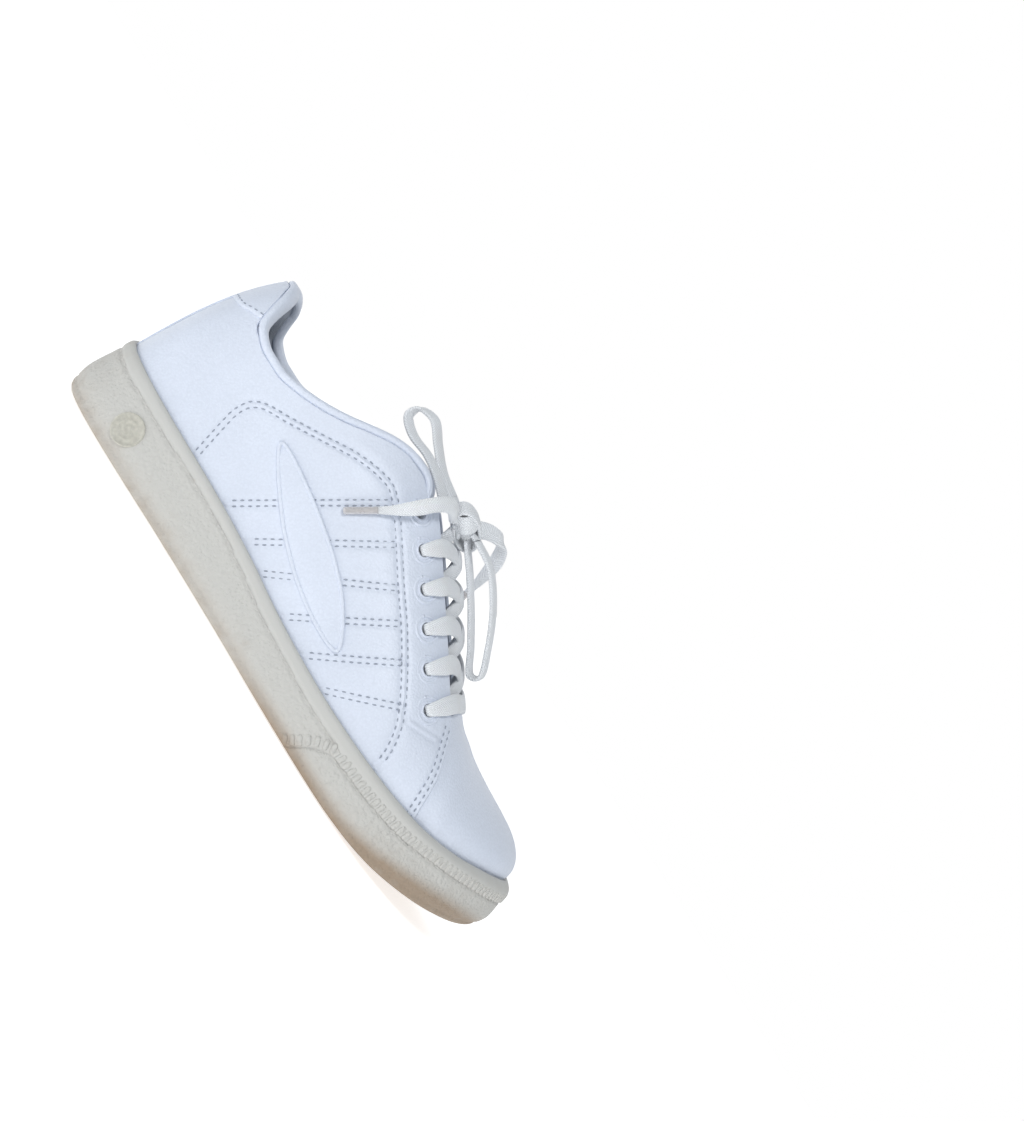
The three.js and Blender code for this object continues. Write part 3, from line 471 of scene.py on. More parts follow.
    def onto(self, hand: int, run: Array, depth: float) -> tuple[Array, Array]:
        """A run drawn in side view, laid on the skin at a depth, with the normals there."""
        u, v = self.locate(hand, run[:, 0], run[:, 1])
        return self.skin(hand, u, v, depth)


# ---- Meshes ---------------------------------------------------------------------------------
def quads(rows: int, columns: int) -> Array:
    """Corner numbers of the faces between the places of a grid.

    Args:
        rows: rows of places.
        columns: columns of places.

    Returns:
        Corner numbers (faces, 4).
    """
    corner = np.arange(rows * columns).reshape(rows, columns)
    around = [corner[:-1, :-1], corner[:-1, 1:], corner[1:, 1:], corner[1:, :-1]]
    return np.stack(around, -1).reshape(-1, 4)


class Form:
    """Vertices, faces and flat coordinates of one piece, in millimetres, while it is put together."""

    def __init__(self) -> None:
        """Starts empty."""
        self.places: list[Array] = []
        self.faces: list[Array] = []
        self.flats: list[Array] = []
        self.zones: list[Array] = []
        self.count = 0

    def add(self, places: Array, faces: Array, flat: Array | None = None, zone: Array | None = None) -> None:
        """Adds places with their faces, numbered within them.

        Args:
            places: places (n, 3).
            faces: corner numbers (m, 4).
            flat: flat coordinates (n, 2) for a pattern that follows the surface.
            zone: a number for each place that its finish reads.
        """
        self.places.append(places)
        self.faces.append(faces + self.count)
        self.flats.append(np.zeros((len(places), 2)) if flat is None else flat)
        self.zones.append(np.zeros(len(places)) if zone is None else zone)
        self.count += len(places)

    def sheet(self, grid: Array, flat: Array | None = None, flip: bool = False,
              zone: Array | None = None) -> None:
        """Adds an open grid (rows, columns, 3) of places as a sheet.

        Args:
            grid: the places.
            flat: flat coordinates (rows, columns, 2).
            flip: turns every face the other way round.
            zone: a number for each place.
        """
        faces = quads(*grid.shape[:2])
        if flip:
            faces = faces[:, ::-1]
        self.add(
            grid.reshape(-1, 3), faces,
            None if flat is None else flat.reshape(-1, 2),
            None if zone is None else zone.reshape(-1),
        )

    def shell(self, outer: Array, inner: Array, flip: bool = False, zone: Array | None = None) -> None:
        """Adds a panel with its two faces and the rim between them.

        Args:
            outer: grid (rows, columns, 3) of the face that shows.
            inner: the same grid on the other face.
            flip: turns every face the other way round.
            zone: a number for each place of the outer grid.
        """
        flat = flat_of(outer)
        none = None if zone is None else np.zeros_like(zone)
        self.sheet(outer, flat, flip, zone)
        self.sheet(inner, flat, not flip, none)
        ring = [(outer[0], inner[0]), (outer[:, -1], inner[:, -1]),
                (outer[-1, ::-1], inner[-1, ::-1]), (outer[::-1, 0], inner[::-1, 0])]
        for out_side, in_side in ring:
            self.sheet(np.stack([in_side, out_side]), None, flip)

    def tube(self, rings: Array, along: Array, around: Array) -> None:
        """Adds closed rings (n, k, 3) joined one after the other, with both ends closed.

        Args:
            rings: the rings' places.
            along: distance along the tube of each ring.
            around: distance round the ring of each of its places.
        """
        wrapped = np.concatenate([rings, rings[:, :1]], 1)
        flat = np.stack(np.meshgrid(around, along), -1)
        self.sheet(wrapped, flat, True)
        for ring, flip in ((rings[0], True), (rings[-1], False)):
            half = len(ring) // 2
            pair = np.stack([ring[: half + 1], np.roll(ring[::-1], 1, 0)[: half + 1]])
            self.sheet(pair, None, flip)

    def piece(self, name: str, last: Last, merge: float = 0.004) -> bpy.types.Object:
        """Makes the object, with doubled places merged and its place in its mesh.

        Args:
            name: the piece's name.
            last: gives the origin of the pattern.
            merge: places closer than this, in millimetres, become one.

        Returns:
            The new object.
        """
        places = (np.concatenate(self.places) - last.origin) / 1000
        faces = np.concatenate(self.faces)
        mesh = bpy.data.meshes.new(name)
        mesh.from_pydata(places.tolist(), [], faces.tolist())
        corners = np.zeros(len(mesh.loops), np.int32)
        mesh.loops.foreach_get("vertex_index", corners)
        layer = mesh.uv_layers.new(name="flat")
        flat = np.concatenate(self.flats) / 1000
        layer.data.foreach_set("uv", flat[corners].astype(np.float32).ravel())
        zone = mesh.attributes.new("zone", "FLOAT", "POINT")
        zone.data.foreach_set("value", np.concatenate(self.zones).astype(np.float32))
        work = bmesh.new()
        work.from_mesh(mesh)
        bmesh.ops.remove_doubles(work, verts=work.verts, dist=merge / 1000)
        bmesh.ops.dissolve_degenerate(work, edges=work.edges, dist=1e-7)
        work.to_mesh(mesh)
        work.free()
        mesh.polygons.foreach_set("use_smooth", np.ones(len(mesh.polygons), bool))
        mesh.update()
        made = bpy.data.objects.new(name, mesh)
        bpy.context.collection.objects.link(made)
        return made


def flat_of(grid: Array) -> Array:
    """Flat coordinates of a grid from the mean spacing of its rows and columns.

    Args:
        grid: places (rows, columns, 3).

    Returns:
        Places across and down, in the last axis.
    """
    rows = np.linalg.norm(np.diff(grid, axis=0), axis=2).mean(1)
    columns = np.linalg.norm(np.diff(grid, axis=1), axis=2).mean(0)
    down = np.concatenate([[0], np.cumsum(rows)])
    across = np.concatenate([[0], np.cumsum(columns)])
    return np.stack(np.meshgrid(across, down), -1)


def flat_section(width: Array, height: Array, sides: int, flatness: float = 0.5) -> tuple[Array, Array]:
    """Section of a flat band: a rounded oblong, its two half axes raised to a power below one.

    Args:
        width: width of each section.
        height: thickness of each section.
        sides: number of places round it.
        flatness: the power; smaller is squarer.

    Returns:
        Places across and up of each section, (sections, sides).
    """
    angle = 2 * np.pi * (np.arange(sides) + 0.5) / sides
    across = np.sign(np.cos(angle)) * np.abs(np.cos(angle)) ** flatness
    upward = np.sign(np.sin(angle)) * np.abs(np.sin(angle)) ** 0.8
    return np.outer(width / 2, across), np.outer(height / 2, upward)


def band(form: Form, path: Array, normals: Array, width: Array | float, height: Array | float,
         sides: int = 14, flatness: float = 0.5) -> None:
    """Adds a flat band along a path: its section carried square to the path.

    Args:
        form: the form it joins.
        path: places along the middle of the band.
        normals: which way the band's flat face looks, at each place.
        width: width, one number or one for each place.
        height: thickness, likewise.
        sides: places round the section.
        flatness: squareness of the section.
    """
    along = directions(path)
    across = unit(np.cross(along, normals))
    upward = np.cross(across, along)
    count = len(path)
    wide, high = flat_section(
        np.broadcast_to(np.asarray(width, float), (count,)),
        np.broadcast_to(np.asarray(height, float), (count,)), sides, flatness,
    )
    rings = path[:, None] + across[:, None] * wide[..., None] + upward[:, None] * high[..., None]
    around = np.concatenate([wide[count // 2], wide[count // 2][:1]])
    form.tube(rings, run_length(path), around)


def lathe(form: Form, centre: Array, axis: Array, radii: Sequence[float], heights: Sequence[float],
          sides: int = 40) -> None:
    """Adds a turned form: each radius carried round the axis at its height, closed at both ends.

    Args:
        form: the form it joins.
        centre: where the axis has height 0.
        axis: direction of the axis.
        radii: radius at each height.
        heights: heights along the axis.
        sides: places round it.
    """
    axis = axis / np.linalg.norm(axis)
    first = np.cross(axis, [0.1, 0.2, 1.0])
    first /= np.linalg.norm(first)
    second = np.cross(axis, first)
    angle = 2 * np.pi * np.arange(sides) / sides
    circle = np.cos(angle)[:, None] * first + np.sin(angle)[:, None] * second
    upward, outward = (np.array(a, float)[:, None, None] for a in (heights, radii))
    rings = centre + upward * axis + outward * circle
    form.tube(rings, np.array(heights, float), np.linspace(0, 1, sides + 1))


# ---- Finishes -------------------------------------------------------------------------------
class Value:
    """A number in a finish that changes over the surface; arithmetic on it adds Math nodes."""

    def __init__(self, finish: "Finish", socket: bpy.types.NodeSocket) -> None:
        """Wraps an output socket of a finish."""
        self.finish, self.socket = finish, socket

    def _with(self, operation: str, first: "Value | float", second: "Value | float" = 0.0) -> "Value":
        """One Math node of two values."""
        return self.finish.node("ShaderNodeMath", {"operation": operation}, {0: first, 1: second}, 0)

    def __add__(self, other: "Value | float") -> "Value":
        """Sum."""
        return self._with("ADD", self, other)

    __radd__ = __add__

    def __mul__(self, other: "Value | float") -> "Value":
        """Product."""
        return self._with("MULTIPLY", self, other)

    __rmul__ = __mul__

    def __sub__(self, other: "Value | float") -> "Value":
        """Difference."""
        return self._with("SUBTRACT", self, other)

    def __rsub__(self, other: "Value | float") -> "Value":
        """Difference, the other way round."""
        return self._with("SUBTRACT", other, self)

    def between(self, low: float, high: float) -> "Value":
        """0 below low, 1 above high and smooth between.

        Args:
            low: where it is 0.
            high: where it is 1; it may be the smaller one.

        Returns:
            The share, as a value.
        """
        settings = {"interpolation_type": "SMOOTHSTEP"}
        ends = (low, high, 0.0, 1.0) if low < high else (high, low, 1.0, 0.0)
        return self.finish.node("ShaderNodeMapRange", settings, dict(enumerate((self, *ends))), 0)

    def wave(self, period: float) -> "Value":
        """Sine with a period, from 0 to 1."""
        return self._with("SINE", self * (2 * math.pi / period)) * 0.5 + 0.5


class Finish:
    """A procedural material on a Principled shader."""

    def __init__(self, name: str) -> None:
        """Makes the empty material.

        Args:
            name: the finish's name.
        """
        self.material = bpy.data.materials.new(name)
        self.material.use_nodes = True
        self.tree = self.material.node_tree
        self.shader = self.tree.nodes["Principled BSDF"]

    def node(self, kind: str, settings: dict, sockets: dict, out: int | str = 0) -> Value:
        """Adds one node.

        Args:
            kind: the node's type.
            settings: its properties, set before its sockets.
            sockets: values or links by socket name or number.
            out: the output that is returned.

        Returns:
            The output, as a value.
        """
        made = self.tree.nodes.new(kind)
        for key, value in settings.items():
            setattr(made, key, value)
        for key, value in sockets.items():
            if isinstance(value, Value):
                self.tree.links.new(value.socket, made.inputs[key])
            else:
                made.inputs[key].default_value = value
        return Value(self, made.outputs[out])

    def place(self) -> Value:
        """Object coordinates, in metres."""
        return self.node("ShaderNodeTexCoord", {}, {}, "Object")

    def flat(self) -> Value:
        """The piece's own flat coordinates, in metres."""
        return self.node("ShaderNodeUVMap", {"uv_map": "flat"}, {}, 0)

    def zone(self) -> Value:
        """The number that the piece carries at each place."""
        return self.node("ShaderNodeAttribute", {"attribute_name": "zone"}, {}, "Fac")

    def split(self, vector: Value, axis: int) -> Value:
        """One number of a vector."""
        return self.node("ShaderNodeSeparateXYZ", {}, {0: vector}, axis)

    def noise(self, vector: Value, scale: float, detail: float = 2.0, distortion: float = 0.0) -> Value:
        """Noise from 0 to 1."""
        sockets = {"Vector": vector, "Scale": scale, "Detail": detail, "Distortion": distortion}
        return self.node("ShaderNodeTexNoise", {}, sockets, 0)

    def cells(self, vector: Value, scale: float, feature: str = "F1") -> Value:
        """Distance in a pattern of cells."""
        sockets = {"Vector": vector, "Scale": scale}
        return self.node("ShaderNodeTexVoronoi", {"feature": feature}, sockets, "Distance")

    def mix(self, share: Value | float, first: "Value | tuple", second: "Value | tuple") -> Value:
        """Mix of two colours."""
        sockets = {0: share, 6: first, 7: second}
        return self.node("ShaderNodeMix", {"data_type": "RGBA"}, sockets, 2)

    def bump(self, height: Value, distance: float, strength: float = 1.0) -> Value:
        """Normal bent by a height, in metres at a height of 1."""
        sockets = {"Height": height, "Distance": distance, "Strength": strength}
        return self.node("ShaderNodeBump", {}, sockets, 0)

    def wear(self, color: Value | tuple, roughness: Value | float, normal: Value | None = None,
             **fixed: float) -> bpy.types.Material:
        """Sets the shader's sockets.

        Args:
            color: base colour.
            roughness: roughness.
            normal: bent normal.
            fixed: sockets that are the same all over, with _ for a space.

        Returns:
            The finished material.
        """
        for key, value in (("Base Color", color), ("Roughness", roughness), ("Normal", normal)):
            if isinstance(value, Value):
                self.tree.links.new(value.socket, self.shader.inputs[key])
            elif value is not None:
                self.shader.inputs[key].default_value = value
        for key, value in fixed.items():
            self.shader.inputs[key.replace("_", " ")].default_value = value
        return self.material


@dataclass(frozen=True)
class Tone:
    """A colour in linear light."""

    red: float
    green: float
    blue: float

    def times(self, factor: float) -> "Tone":
        """The same colour, lighter or darker."""
        return Tone(self.red * factor, self.green * factor, self.blue * factor)

    def rgba(self) -> tuple[float, float, float, float]:
        """The colour as a socket takes it."""
        return (self.red, self.green, self.blue, 1.0)


@dataclass(frozen=True)
class Leather:
    """Coated white leather with a fine pebble grain."""

    name: str = "white_leather"
    tone: Tone = Tone(0.74, 0.79, 0.90)
    grain_scale: float = 950.0
    grain_depth: float = 0.00022

    def make(self) -> bpy.types.Material:
        """Grain of cells with fine noise between them; a faint blue and grey cloud in the colour; painted
        shade, dark grey, in the lace holes that the zone marks.

        Returns:
            The finished material.
        """
        f = Finish(self.name)
        place = f.place()
        cloud = f.noise(place, 28.0, 3.0)
        grain = f.cells(place, self.grain_scale)
        fine = f.noise(place, 2600.0, 2.0)
        crease = f.noise(place, 170.0, 4.0, 0.6)
        height = grain * 0.55 + fine * 0.3 + crease * 0.9
        color = f.mix(cloud.between(0.35, 0.7), self.tone.rgba(), self.tone.times(0.955).rgba())
        # painted shade: dark grey where the zone marks the lace holes, for the shade inside them
        color = f.mix(f.zone(), color, Tone(0.30, 0.31, 0.33).rgba())
        color = f.mix(grain.between(0.25, 0.75) * 0.12, color, self.tone.times(0.7).rgba())
        roughness = cloud * 0.16 + 0.38
        normal = f.bump(height, self.grain_depth)
        return f.wear(color, roughness, normal, Coat_Weight=0.12, Coat_Roughness=0.35)


@dataclass(frozen=True)
class Rubber:
    """Off-white cup sole rubber, yellowed and soiled towards the ground, heel and toe."""

    name: str = "sole_rubber"
    tone: Tone = Tone(0.60, 0.59, 0.56)
    bead_tone: Tone = Tone(0.59, 0.585, 0.56)
    soil: Tone = Tone(0.35, 0.27, 0.20)

    def make(self) -> bpy.types.Material:
        """Pebble grain on the wall, coarser where the zone is 2, and a smooth bead where it is 1.

        Returns:
            The finished material.
        """
        f = Finish(self.name)
        place, zone = f.place(), f.zone()
        x, z = f.split(place, 0), f.split(place, 2)
        cloud = f.noise(place, 45.0, 4.0)
        patch = f.noise(place, 190.0, 5.0, 0.4)
        ground = (z + cloud * 0.008 - x.between(0.045, 0.14) * 0.016)
        low = ground.between(0.017, 0.003)
        edge = (z + patch * 0.004 - x.between(0.06, 0.14) * 0.018).between(0.0100, 0.0015)
        ends = x.between(0.085, 0.138) * 0.3 + x.between(-0.115, -0.140) * 0.6
        soiled = (low * 0.3 + ends * 0.3) * patch.between(0.25, 0.75)
        soiled = soiled + edge * (x.between(-0.02, 0.04) * 0.6 + 0.3)
        wall = zone.between(0.4, 0.0) + zone.between(1.4, 1.8)
        color = f.mix(wall, self.bead_tone.rgba(), self.tone.rgba())
        color = f.mix(soiled + patch.between(0.62, 0.8) * 0.12, color, self.soil.rgba())
        pebble = f.cells(place, 780.0, "SMOOTH_F1") * 1.1 + f.noise(place, 1500.0, 2.0) * 0.5
        wrinkle = f.noise(place, 420.0, 2.0, 0.8)
        height = (pebble + wrinkle * zone.between(0.9, 1.9) * 1.6) * wall + f.noise(place, 900.0, 2.0) * 0.25
        roughness = cloud * 0.15 + 0.58
        return f.wear(color, roughness, f.bump(height, 0.00045, 0.9))


@dataclass(frozen=True)
class Cloth:
    """Woven or knitted cloth; its threads follow the piece's flat coordinates."""

    name: str
    tone: Tone
    thread: float
    depth: float
    slant: float = 0.0

    def make(self) -> bpy.types.Material:
        """Two sets of threads, each a sine of the flat coordinates, one over the other in turn.

        Returns:
            The finished material.
        """
        f = Finish(self.name)
        flat = f.flat()
        across, along = f.split(flat, 0), f.split(flat, 1)
        first = (along + across * self.slant).wave(self.thread)
        second = (across - along * self.slant).wave(self.thread)
        weave = first * second + (1 - first) * (1 - second)
        cloud = f.noise(f.place(), 60.0, 4.0)
        fuzz = f.noise(f.place(), 2400.0, 3.0)
        color = f.mix(weave.between(0.2, 0.9), self.tone.times(0.72).rgba(), self.tone.rgba())
        color = f.mix(cloud.between(0.4, 0.8) * 0.25, color, self.tone.times(0.86).rgba())
        return f.wear(color, cloud * 0.1 + 0.82, f.bump(weave + fuzz * 0.6, self.depth), Sheen_Weight=0.25)


@dataclass(frozen=True)
class Woven:
    """Flat shoelace weave: chevrons of fine yarn with a firm edge."""

    name: str = "lace_cloth"
    tone: Tone = Tone(0.93, 0.95, 0.98)
    warm: Tone = Tone(0.82, 0.80, 0.78)
    yarn: float = 0.0011

    def make(self) -> bpy.types.Material:
        """Yarns slant one way in one half of the width and the other way in the other half.

        Returns:
            The finished material.
        """
        f = Finish(self.name)
        flat = f.flat()
        across, along = f.split(flat, 0), f.split(flat, 1)
        turned = f.node("ShaderNodeMath", {"operation": "ABSOLUTE"}, {0: across}, 0)
        chevron = (along + turned * 0.9).wave(self.yarn)
        cord = turned.wave(self.yarn * 0.9)
        fuzz = f.noise(f.place(), 3000.0, 3.0)
        weave = chevron * 0.7 + chevron * cord * 0.5
        cloud = f.noise(f.place(), 75.0, 3.0)
        base = f.mix(cloud.between(0.45, 0.75) * 0.5, self.tone.rgba(), self.warm.rgba())
        color = f.mix(weave.between(0.05, 0.6), self.tone.times(0.84).rgba(), base)
        return f.wear(color, cloud * 0.1 + 0.8, f.bump(weave + fuzz * 0.25, 0.0002), Sheen_Weight=0.3)


@dataclass(frozen=True)
class Thread:
    """Sewing thread with a slight twist, its pale colour darkened to grey-blue as painted shade of the
    stitch holes.
    """

    name: str = "thread_painted_shade"
    # grey-blue tone: painted shade of the stitch holes, darker than the thread's own colour
    tone: Tone = Tone(0.40, 0.44, 0.52)

    def make(self) -> bpy.types.Material:
        """Twist as a sine along the stitch and its width.

        Returns:
            The finished material.
        """
        f = Finish(self.name)
        flat = f.flat()
        twist = (f.split(flat, 1) + f.split(flat, 0) * 0.8).wave(0.0005)
        color = f.mix(twist * 0.5, self.tone.rgba(), self.tone.times(0.8).rgba())
        return f.wear(color, 0.62 + twist * 0.1, f.bump(twist, 0.0001))


@dataclass(frozen=True)
class Moulded:
    """Moulded plastic, foam or fibre: a plain tone with fine speckle."""

    name: str
    tone: Tone
    roughness: float
    speckle: float
    depth: float
    transmission: float = 0.0

    def make(self) -> bpy.types.Material:
        """Speckle in colour and height from noise.

        Returns:
            The finished material.
        """
        f = Finish(self.name)
        speckle = f.noise(f.place(), self.speckle, 3.0)
        color = f.mix(speckle.between(0.3, 0.75), self.tone.rgba(), self.tone.times(0.82).rgba())
        fixed = {"Transmission_Weight": self.transmission} if self.transmission else {}
        return f.wear(color, speckle * 0.12 + self.roughness, f.bump(speckle, self.depth), **fixed)


@dataclass
class Finishes:
    """Every finish of the shoe, made once."""

    leather: bpy.types.Material = field(default_factory=lambda: Leather().make())
    rubber: bpy.types.Material = field(default_factory=lambda: Rubber().make())
    lining: bpy.types.Material = field(default_factory=lambda: Cloth(
        "lining_cloth", Tone(0.66, 0.71, 0.80), 0.0009, 0.0002, 0.0).make())
    sock: bpy.types.Material = field(default_factory=lambda: Cloth(
        "sock_cloth", Tone(0.62, 0.66, 0.72), 0.0013, 0.0003, 0.6).make())
    lace: bpy.types.Material = field(default_factory=lambda: Woven().make())
    thread: bpy.types.Material = field(default_factory=lambda: Thread().make())
    badge: bpy.types.Material = field(default_factory=lambda: Moulded(
        "badge_plastic", Tone(0.66, 0.64, 0.56), 0.3, 700.0, 0.00004, 0.15).make())
    aglet: bpy.types.Material = field(default_factory=lambda: Moulded(
        "aglet_plastic", Tone(0.66, 0.63, 0.63), 0.2, 500.0, 0.00003, 0.25).make())
    foam: bpy.types.Material = field(default_factory=lambda: Moulded(
        "soft_foam", Tone(0.72, 0.62, 0.40), 0.85, 1800.0, 0.0002).make())
    board: bpy.types.Material = field(default_factory=lambda: Moulded(
        "board_fibre", Tone(0.48, 0.40, 0.28), 0.8, 900.0, 0.0002).make())


def dress(piece: bpy.types.Object, finish: bpy.types.Material, body: str = "shoe",
          stands_for: Sequence[str] = ()) -> bpy.types.Object:
    """Gives a piece its finish and its body, and hides the nodes it stands for.

    Args:
        piece: the new piece.
        finish: its material.
        body: the body it rides on.
        stands_for: CAD nodes that it replaces.

    Returns:
        The piece.
    """
    piece.data.materials.clear()
    piece.data.materials.append(finish)
    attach(piece, body)
    if stands_for:
        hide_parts(*stands_for)
    log.info("%s: %d faces on %s", piece.name, len(piece.data.polygons), body)
    return piece


# ---- Cup sole -------------------------------------------------------------------------------
def studs(form: Form, centres: Array, along: Array, normals: Array, length: float, width: float,
          height: float, squareness: float = 1.0, steps: int = 5, sides: int = 6) -> None:
    """Adds many small rounded bars, such as stitches: an oval carried over a length and closed at its ends.

    Args:
        form: the form they join.
        centres: the middle of each bar.
        along: its direction.
        normals: the way out of the surface.
        length: its length.
        width: its width.
        height: its height above and below its middle line, in all.
        squareness: the power of the end's roundness; smaller is blunter.
        steps: places along it.
        sides: places round it.
    """
    along = along / np.linalg.norm(along, axis=1, keepdims=True)
    across = np.cross(along, normals)
    across /= np.linalg.norm(across, axis=1, keepdims=True)
    upward = np.cross(across, along)
    t = np.sin(np.linspace(-np.pi / 2, np.pi / 2, steps))
    full = np.sqrt(np.maximum(1 - t * t, 0)) ** squareness
    angle = 2 * np.pi * np.arange(sides + 1) / sides
    a = (t * length / 2)[None, :, None, None] * along[:, None, None]
    b = (full[:, None] * np.cos(angle))[None, ..., None] * across[:, None, None] * width / 2
    c = (full[:, None] * np.sin(angle))[None, ..., None] * upward[:, None, None] * height / 2
    grids = centres[:, None, None] + a + b + c
    flat = np.stack(np.broadcast_arrays(angle[None, :] * width / 6, (t * length / 2)[:, None]), -1)
    count = len(centres)
    offsets = np.arange(count)[:, None, None] * steps * (sides + 1)
    faces = (quads(steps, sides + 1)[None] + offsets).reshape(-1, 4)
    form.add(grids.reshape(-1, 3), faces, np.tile(flat.reshape(-1, 2), (count, 1)))


@dataclass
class CupSole:
    """Rubber cup with its bead, groove and row of teeth round the toe, and the disc in its heel."""

    last: Last
    stations: int = 440
    wall_rows: int = 46
    tread_rows: int = 34
    floor: float = 6.0
    tread_inset: float = 5.0
    groove_depth: float = 0.85
    groove_width: float = 0.8
    groove_end: float = 177.0
    bead_swell: float = 0.55
    border: float = 3.6
    tooth_pitch: float = 2.9
    tooth_length: float = 4.5
    tooth_width: float = 2.3
    tooth_height: float = 1.1
    tooth_squareness: float = 0.3
    tooth_gap: float = 0.5
    row_start: tuple[float, float] = (183.0, 17.0)

    def __post_init__(self) -> None:
        """Draws the wall's profile as a share of its height, f: a fixed inset and a share of the bead's."""
        self.fixed = SmoothLine([
            [0, 3.0], [0.03, 1.8], [0.09, 1.2], [0.34, 0], [0.87, 0], [0.96, -0.9], [1, -1.2]])
        self.tied = SmoothLine([[0, 0], [0.34, 0], [0.66, 0.22], [0.87, 0.4], [0.96, 0.72], [1, 1]])
        self.groove = SmoothLine(GROOVE_LINE)
        self.rib = SmoothLine(RIB_LINE)

    def span(self, hand: int, u: Array) -> tuple[Array, Array]:
        """Heights of the ground and the top of the wall on each section.

        Args:
            hand: -1 lateral, 1 medial.
            u: 0 at the heel to 1 at the toe.

        Returns:
            The two heights on each section.
        """
        ground = self.last.tread(self.last.outline(hand, u, self.tread_inset)[..., 0])
        top = self.last.top(self.last.outline(hand, u, self.last.bead_inset(u))[..., 0])
        return ground, top

    def wall(self, hand: int, u: Array, f: Array, plain: bool = False) -> Array:
        """Places on the outside of the wall: the outline moved in by the profile and out by the relief.

        Args:
            hand: -1 lateral, 1 medial.
            u: 0 at the heel to 1 at the toe.
            f: share of the wall's height.
            plain: leaves the relief out.

        Returns:
            Places (x, y, z) in the last axis.
        """
        u, f = np.broadcast_arrays(u, f)
        ground, top = self.span(hand, u)
        z = ground + f * (top - ground)
        inset = self.fixed(f) + self.tied(f) * self.last.bead_inset(u)
        x = self.last.outline(hand, u, inset)[..., 0]
        if not plain:
            above = z - self.groove(x)
            held = 1 - smooth((x - self.groove_end) / 3)
            run = u * self.last.perimeter / 2
            tacks = np.exp(-((np.mod(run, 10.5) - 5.25) / 0.9) ** 2) * np.exp(-((above - 0.2) / 0.8) ** 2)
            notch = self.groove_depth * np.exp(-((above / self.groove_width) ** 2)) * (1 - 0.9 * tacks)
            swell = np.sin(np.pi * np.clip(above / np.maximum(top - self.groove(x), 1), 0, 1))
            edge = np.exp(-(((z - ground - self.border) / 0.7) ** 2)) * 0.35
            line = np.exp(-(((z - self.rib(x) + 0.3) / 0.6) ** 2)) * smooth((x - RIB_LINE[0][0]) / 2) * 0.7
            inset = inset + notch * held - self.bead_swell * swell + edge + line
        return np.concatenate([self.last.outline(hand, u, inset), z[..., None]], -1)

    def zones(self, hand: int, u: Array, f: Array) -> Array:
        """1 on the smooth bead and border, 2 on the wrinkled forefoot, 0 on the pebbled wall.

        Args:
            hand: -1 lateral, 1 medial.
            u: 0 at the heel to 1 at the toe.
            f: share of the wall's height.

        Returns:
            The zone of each place.
        """
        place = self.wall(hand, u, f, True)
        x, z = place[..., 0], place[..., 2]
        ground, _ = self.span(hand, np.broadcast_to(u, z.shape))
        rib = self.rib(x)
        forefoot = (x > RIB_LINE[0][0]) & (z < rib)
        bead = np.where(x < self.groove_end + 4, z > self.groove(x) + 0.3, z > rib)
        return np.where(forefoot, 2.0, np.where(bead, 1.0, 0.0)) * (z > ground + 0.4)

    def build(self, looks: Finishes) -> None:
        """Makes the cup, its teeth and its discs.

        Args:
            looks: the shoe's finishes.
        """
        u = np.linspace(0, 1, self.stations)[:, None]
        f = np.linspace(0, 1, self.wall_rows)[None]
        sides, marks = {}, {}
        for hand in (-1, 1):
            outer = self.wall(hand, u, f)
            edge = self.last.outline(hand, u, self.last.bead_inset(u))
            _, top = self.span(hand, u)
            low = self.last.tread(edge[..., 0]) + self.floor
            inner = [np.concatenate([edge, z[..., None]], -1) for z in (top - 0.4, low)]
            sides[hand] = np.concatenate([outer, *inner], 1)
            marks[hand] = np.concatenate([self.zones(hand, u, f), np.ones((self.stations, 2))], 1)
        share = np.linspace(0, 1, self.tread_rows)[None, 1:, None]
        bottom = sides[1][:, :1] * (1 - share) + sides[-1][:, :1] * share
        away = np.minimum(np.abs(share[..., 0]), 1 - share[..., 0])
        bars = np.cos((bottom[..., 0] + np.abs(bottom[..., 1] + 1.5) * 0.9) * 2 * np.pi / 7.5)
        bottom[..., 2] += 1.1 * smooth(bars * 2.5) * smooth(away * 12 - 0.6)
        loop = np.concatenate([sides[-1], sides[1][:, ::-1], bottom], 1)
        zone = np.concatenate([marks[-1], marks[1][:, ::-1], np.zeros(bottom.shape[:2])], 1)
        form = Form()
        form.sheet(loop, flat_of(loop), False, zone)
        dress(form.piece("outsole_fine", self.last), looks.rubber, stands_for=["outsole"])
        self.teeth(looks)
        for hand in Hand:
            self.badge(hand, looks)

    def on_wall(self, hand: int, x: Array, z: Array) -> tuple[Array, Array]:
        """Parameters (u, f) of the plain wall at places given in side view.

        Args:
            hand: -1 lateral, 1 medial.
            x: distance of each place along the shoe.
            z: height of each place.

        Returns:
            The parameters u and f of each place.
        """
        f = np.full(np.shape(x), 0.5)
        u = np.full(np.shape(x), 0.5)
        for _ in range(6):
            low, high = np.zeros(np.shape(x)), np.ones(np.shape(x))
            for _ in range(20):
                middle = (low + high) / 2
                back = self.wall(hand, middle, f, True)[..., 0] < x
                low, high = np.where(back, middle, low), np.where(back, high, middle)
            u = low
            ground, top = self.span(hand, u)
            f = np.clip((z - ground) / (top - ground), 0, 1)
        return u, f

    def facing(self, hand: int, u: Array, f: Array) -> tuple[Array, Array, Array, Array]:
        """Place, way out, way up and way along of the plain wall.

        Args:
            hand: -1 lateral, 1 medial.
            u: 0 at the heel to 1 at the toe.
            f: share of the wall's height.

        Returns:
            The places and the three unit directions.
        """
        step, rise = 0.003, 0.03
        place = self.wall(hand, u, f, True)
        front, back = (self.wall(hand, np.clip(u + d, 0, 1), f, True) for d in (step, -step))
        above, below = (self.wall(hand, u, np.clip(f + d, 0, 1), True) for d in (rise, -rise))
        ahead, upward = front - back, above - below
        normal = np.cross(ahead, upward) * -hand
        return place, unit(normal), unit(upward), unit(ahead)

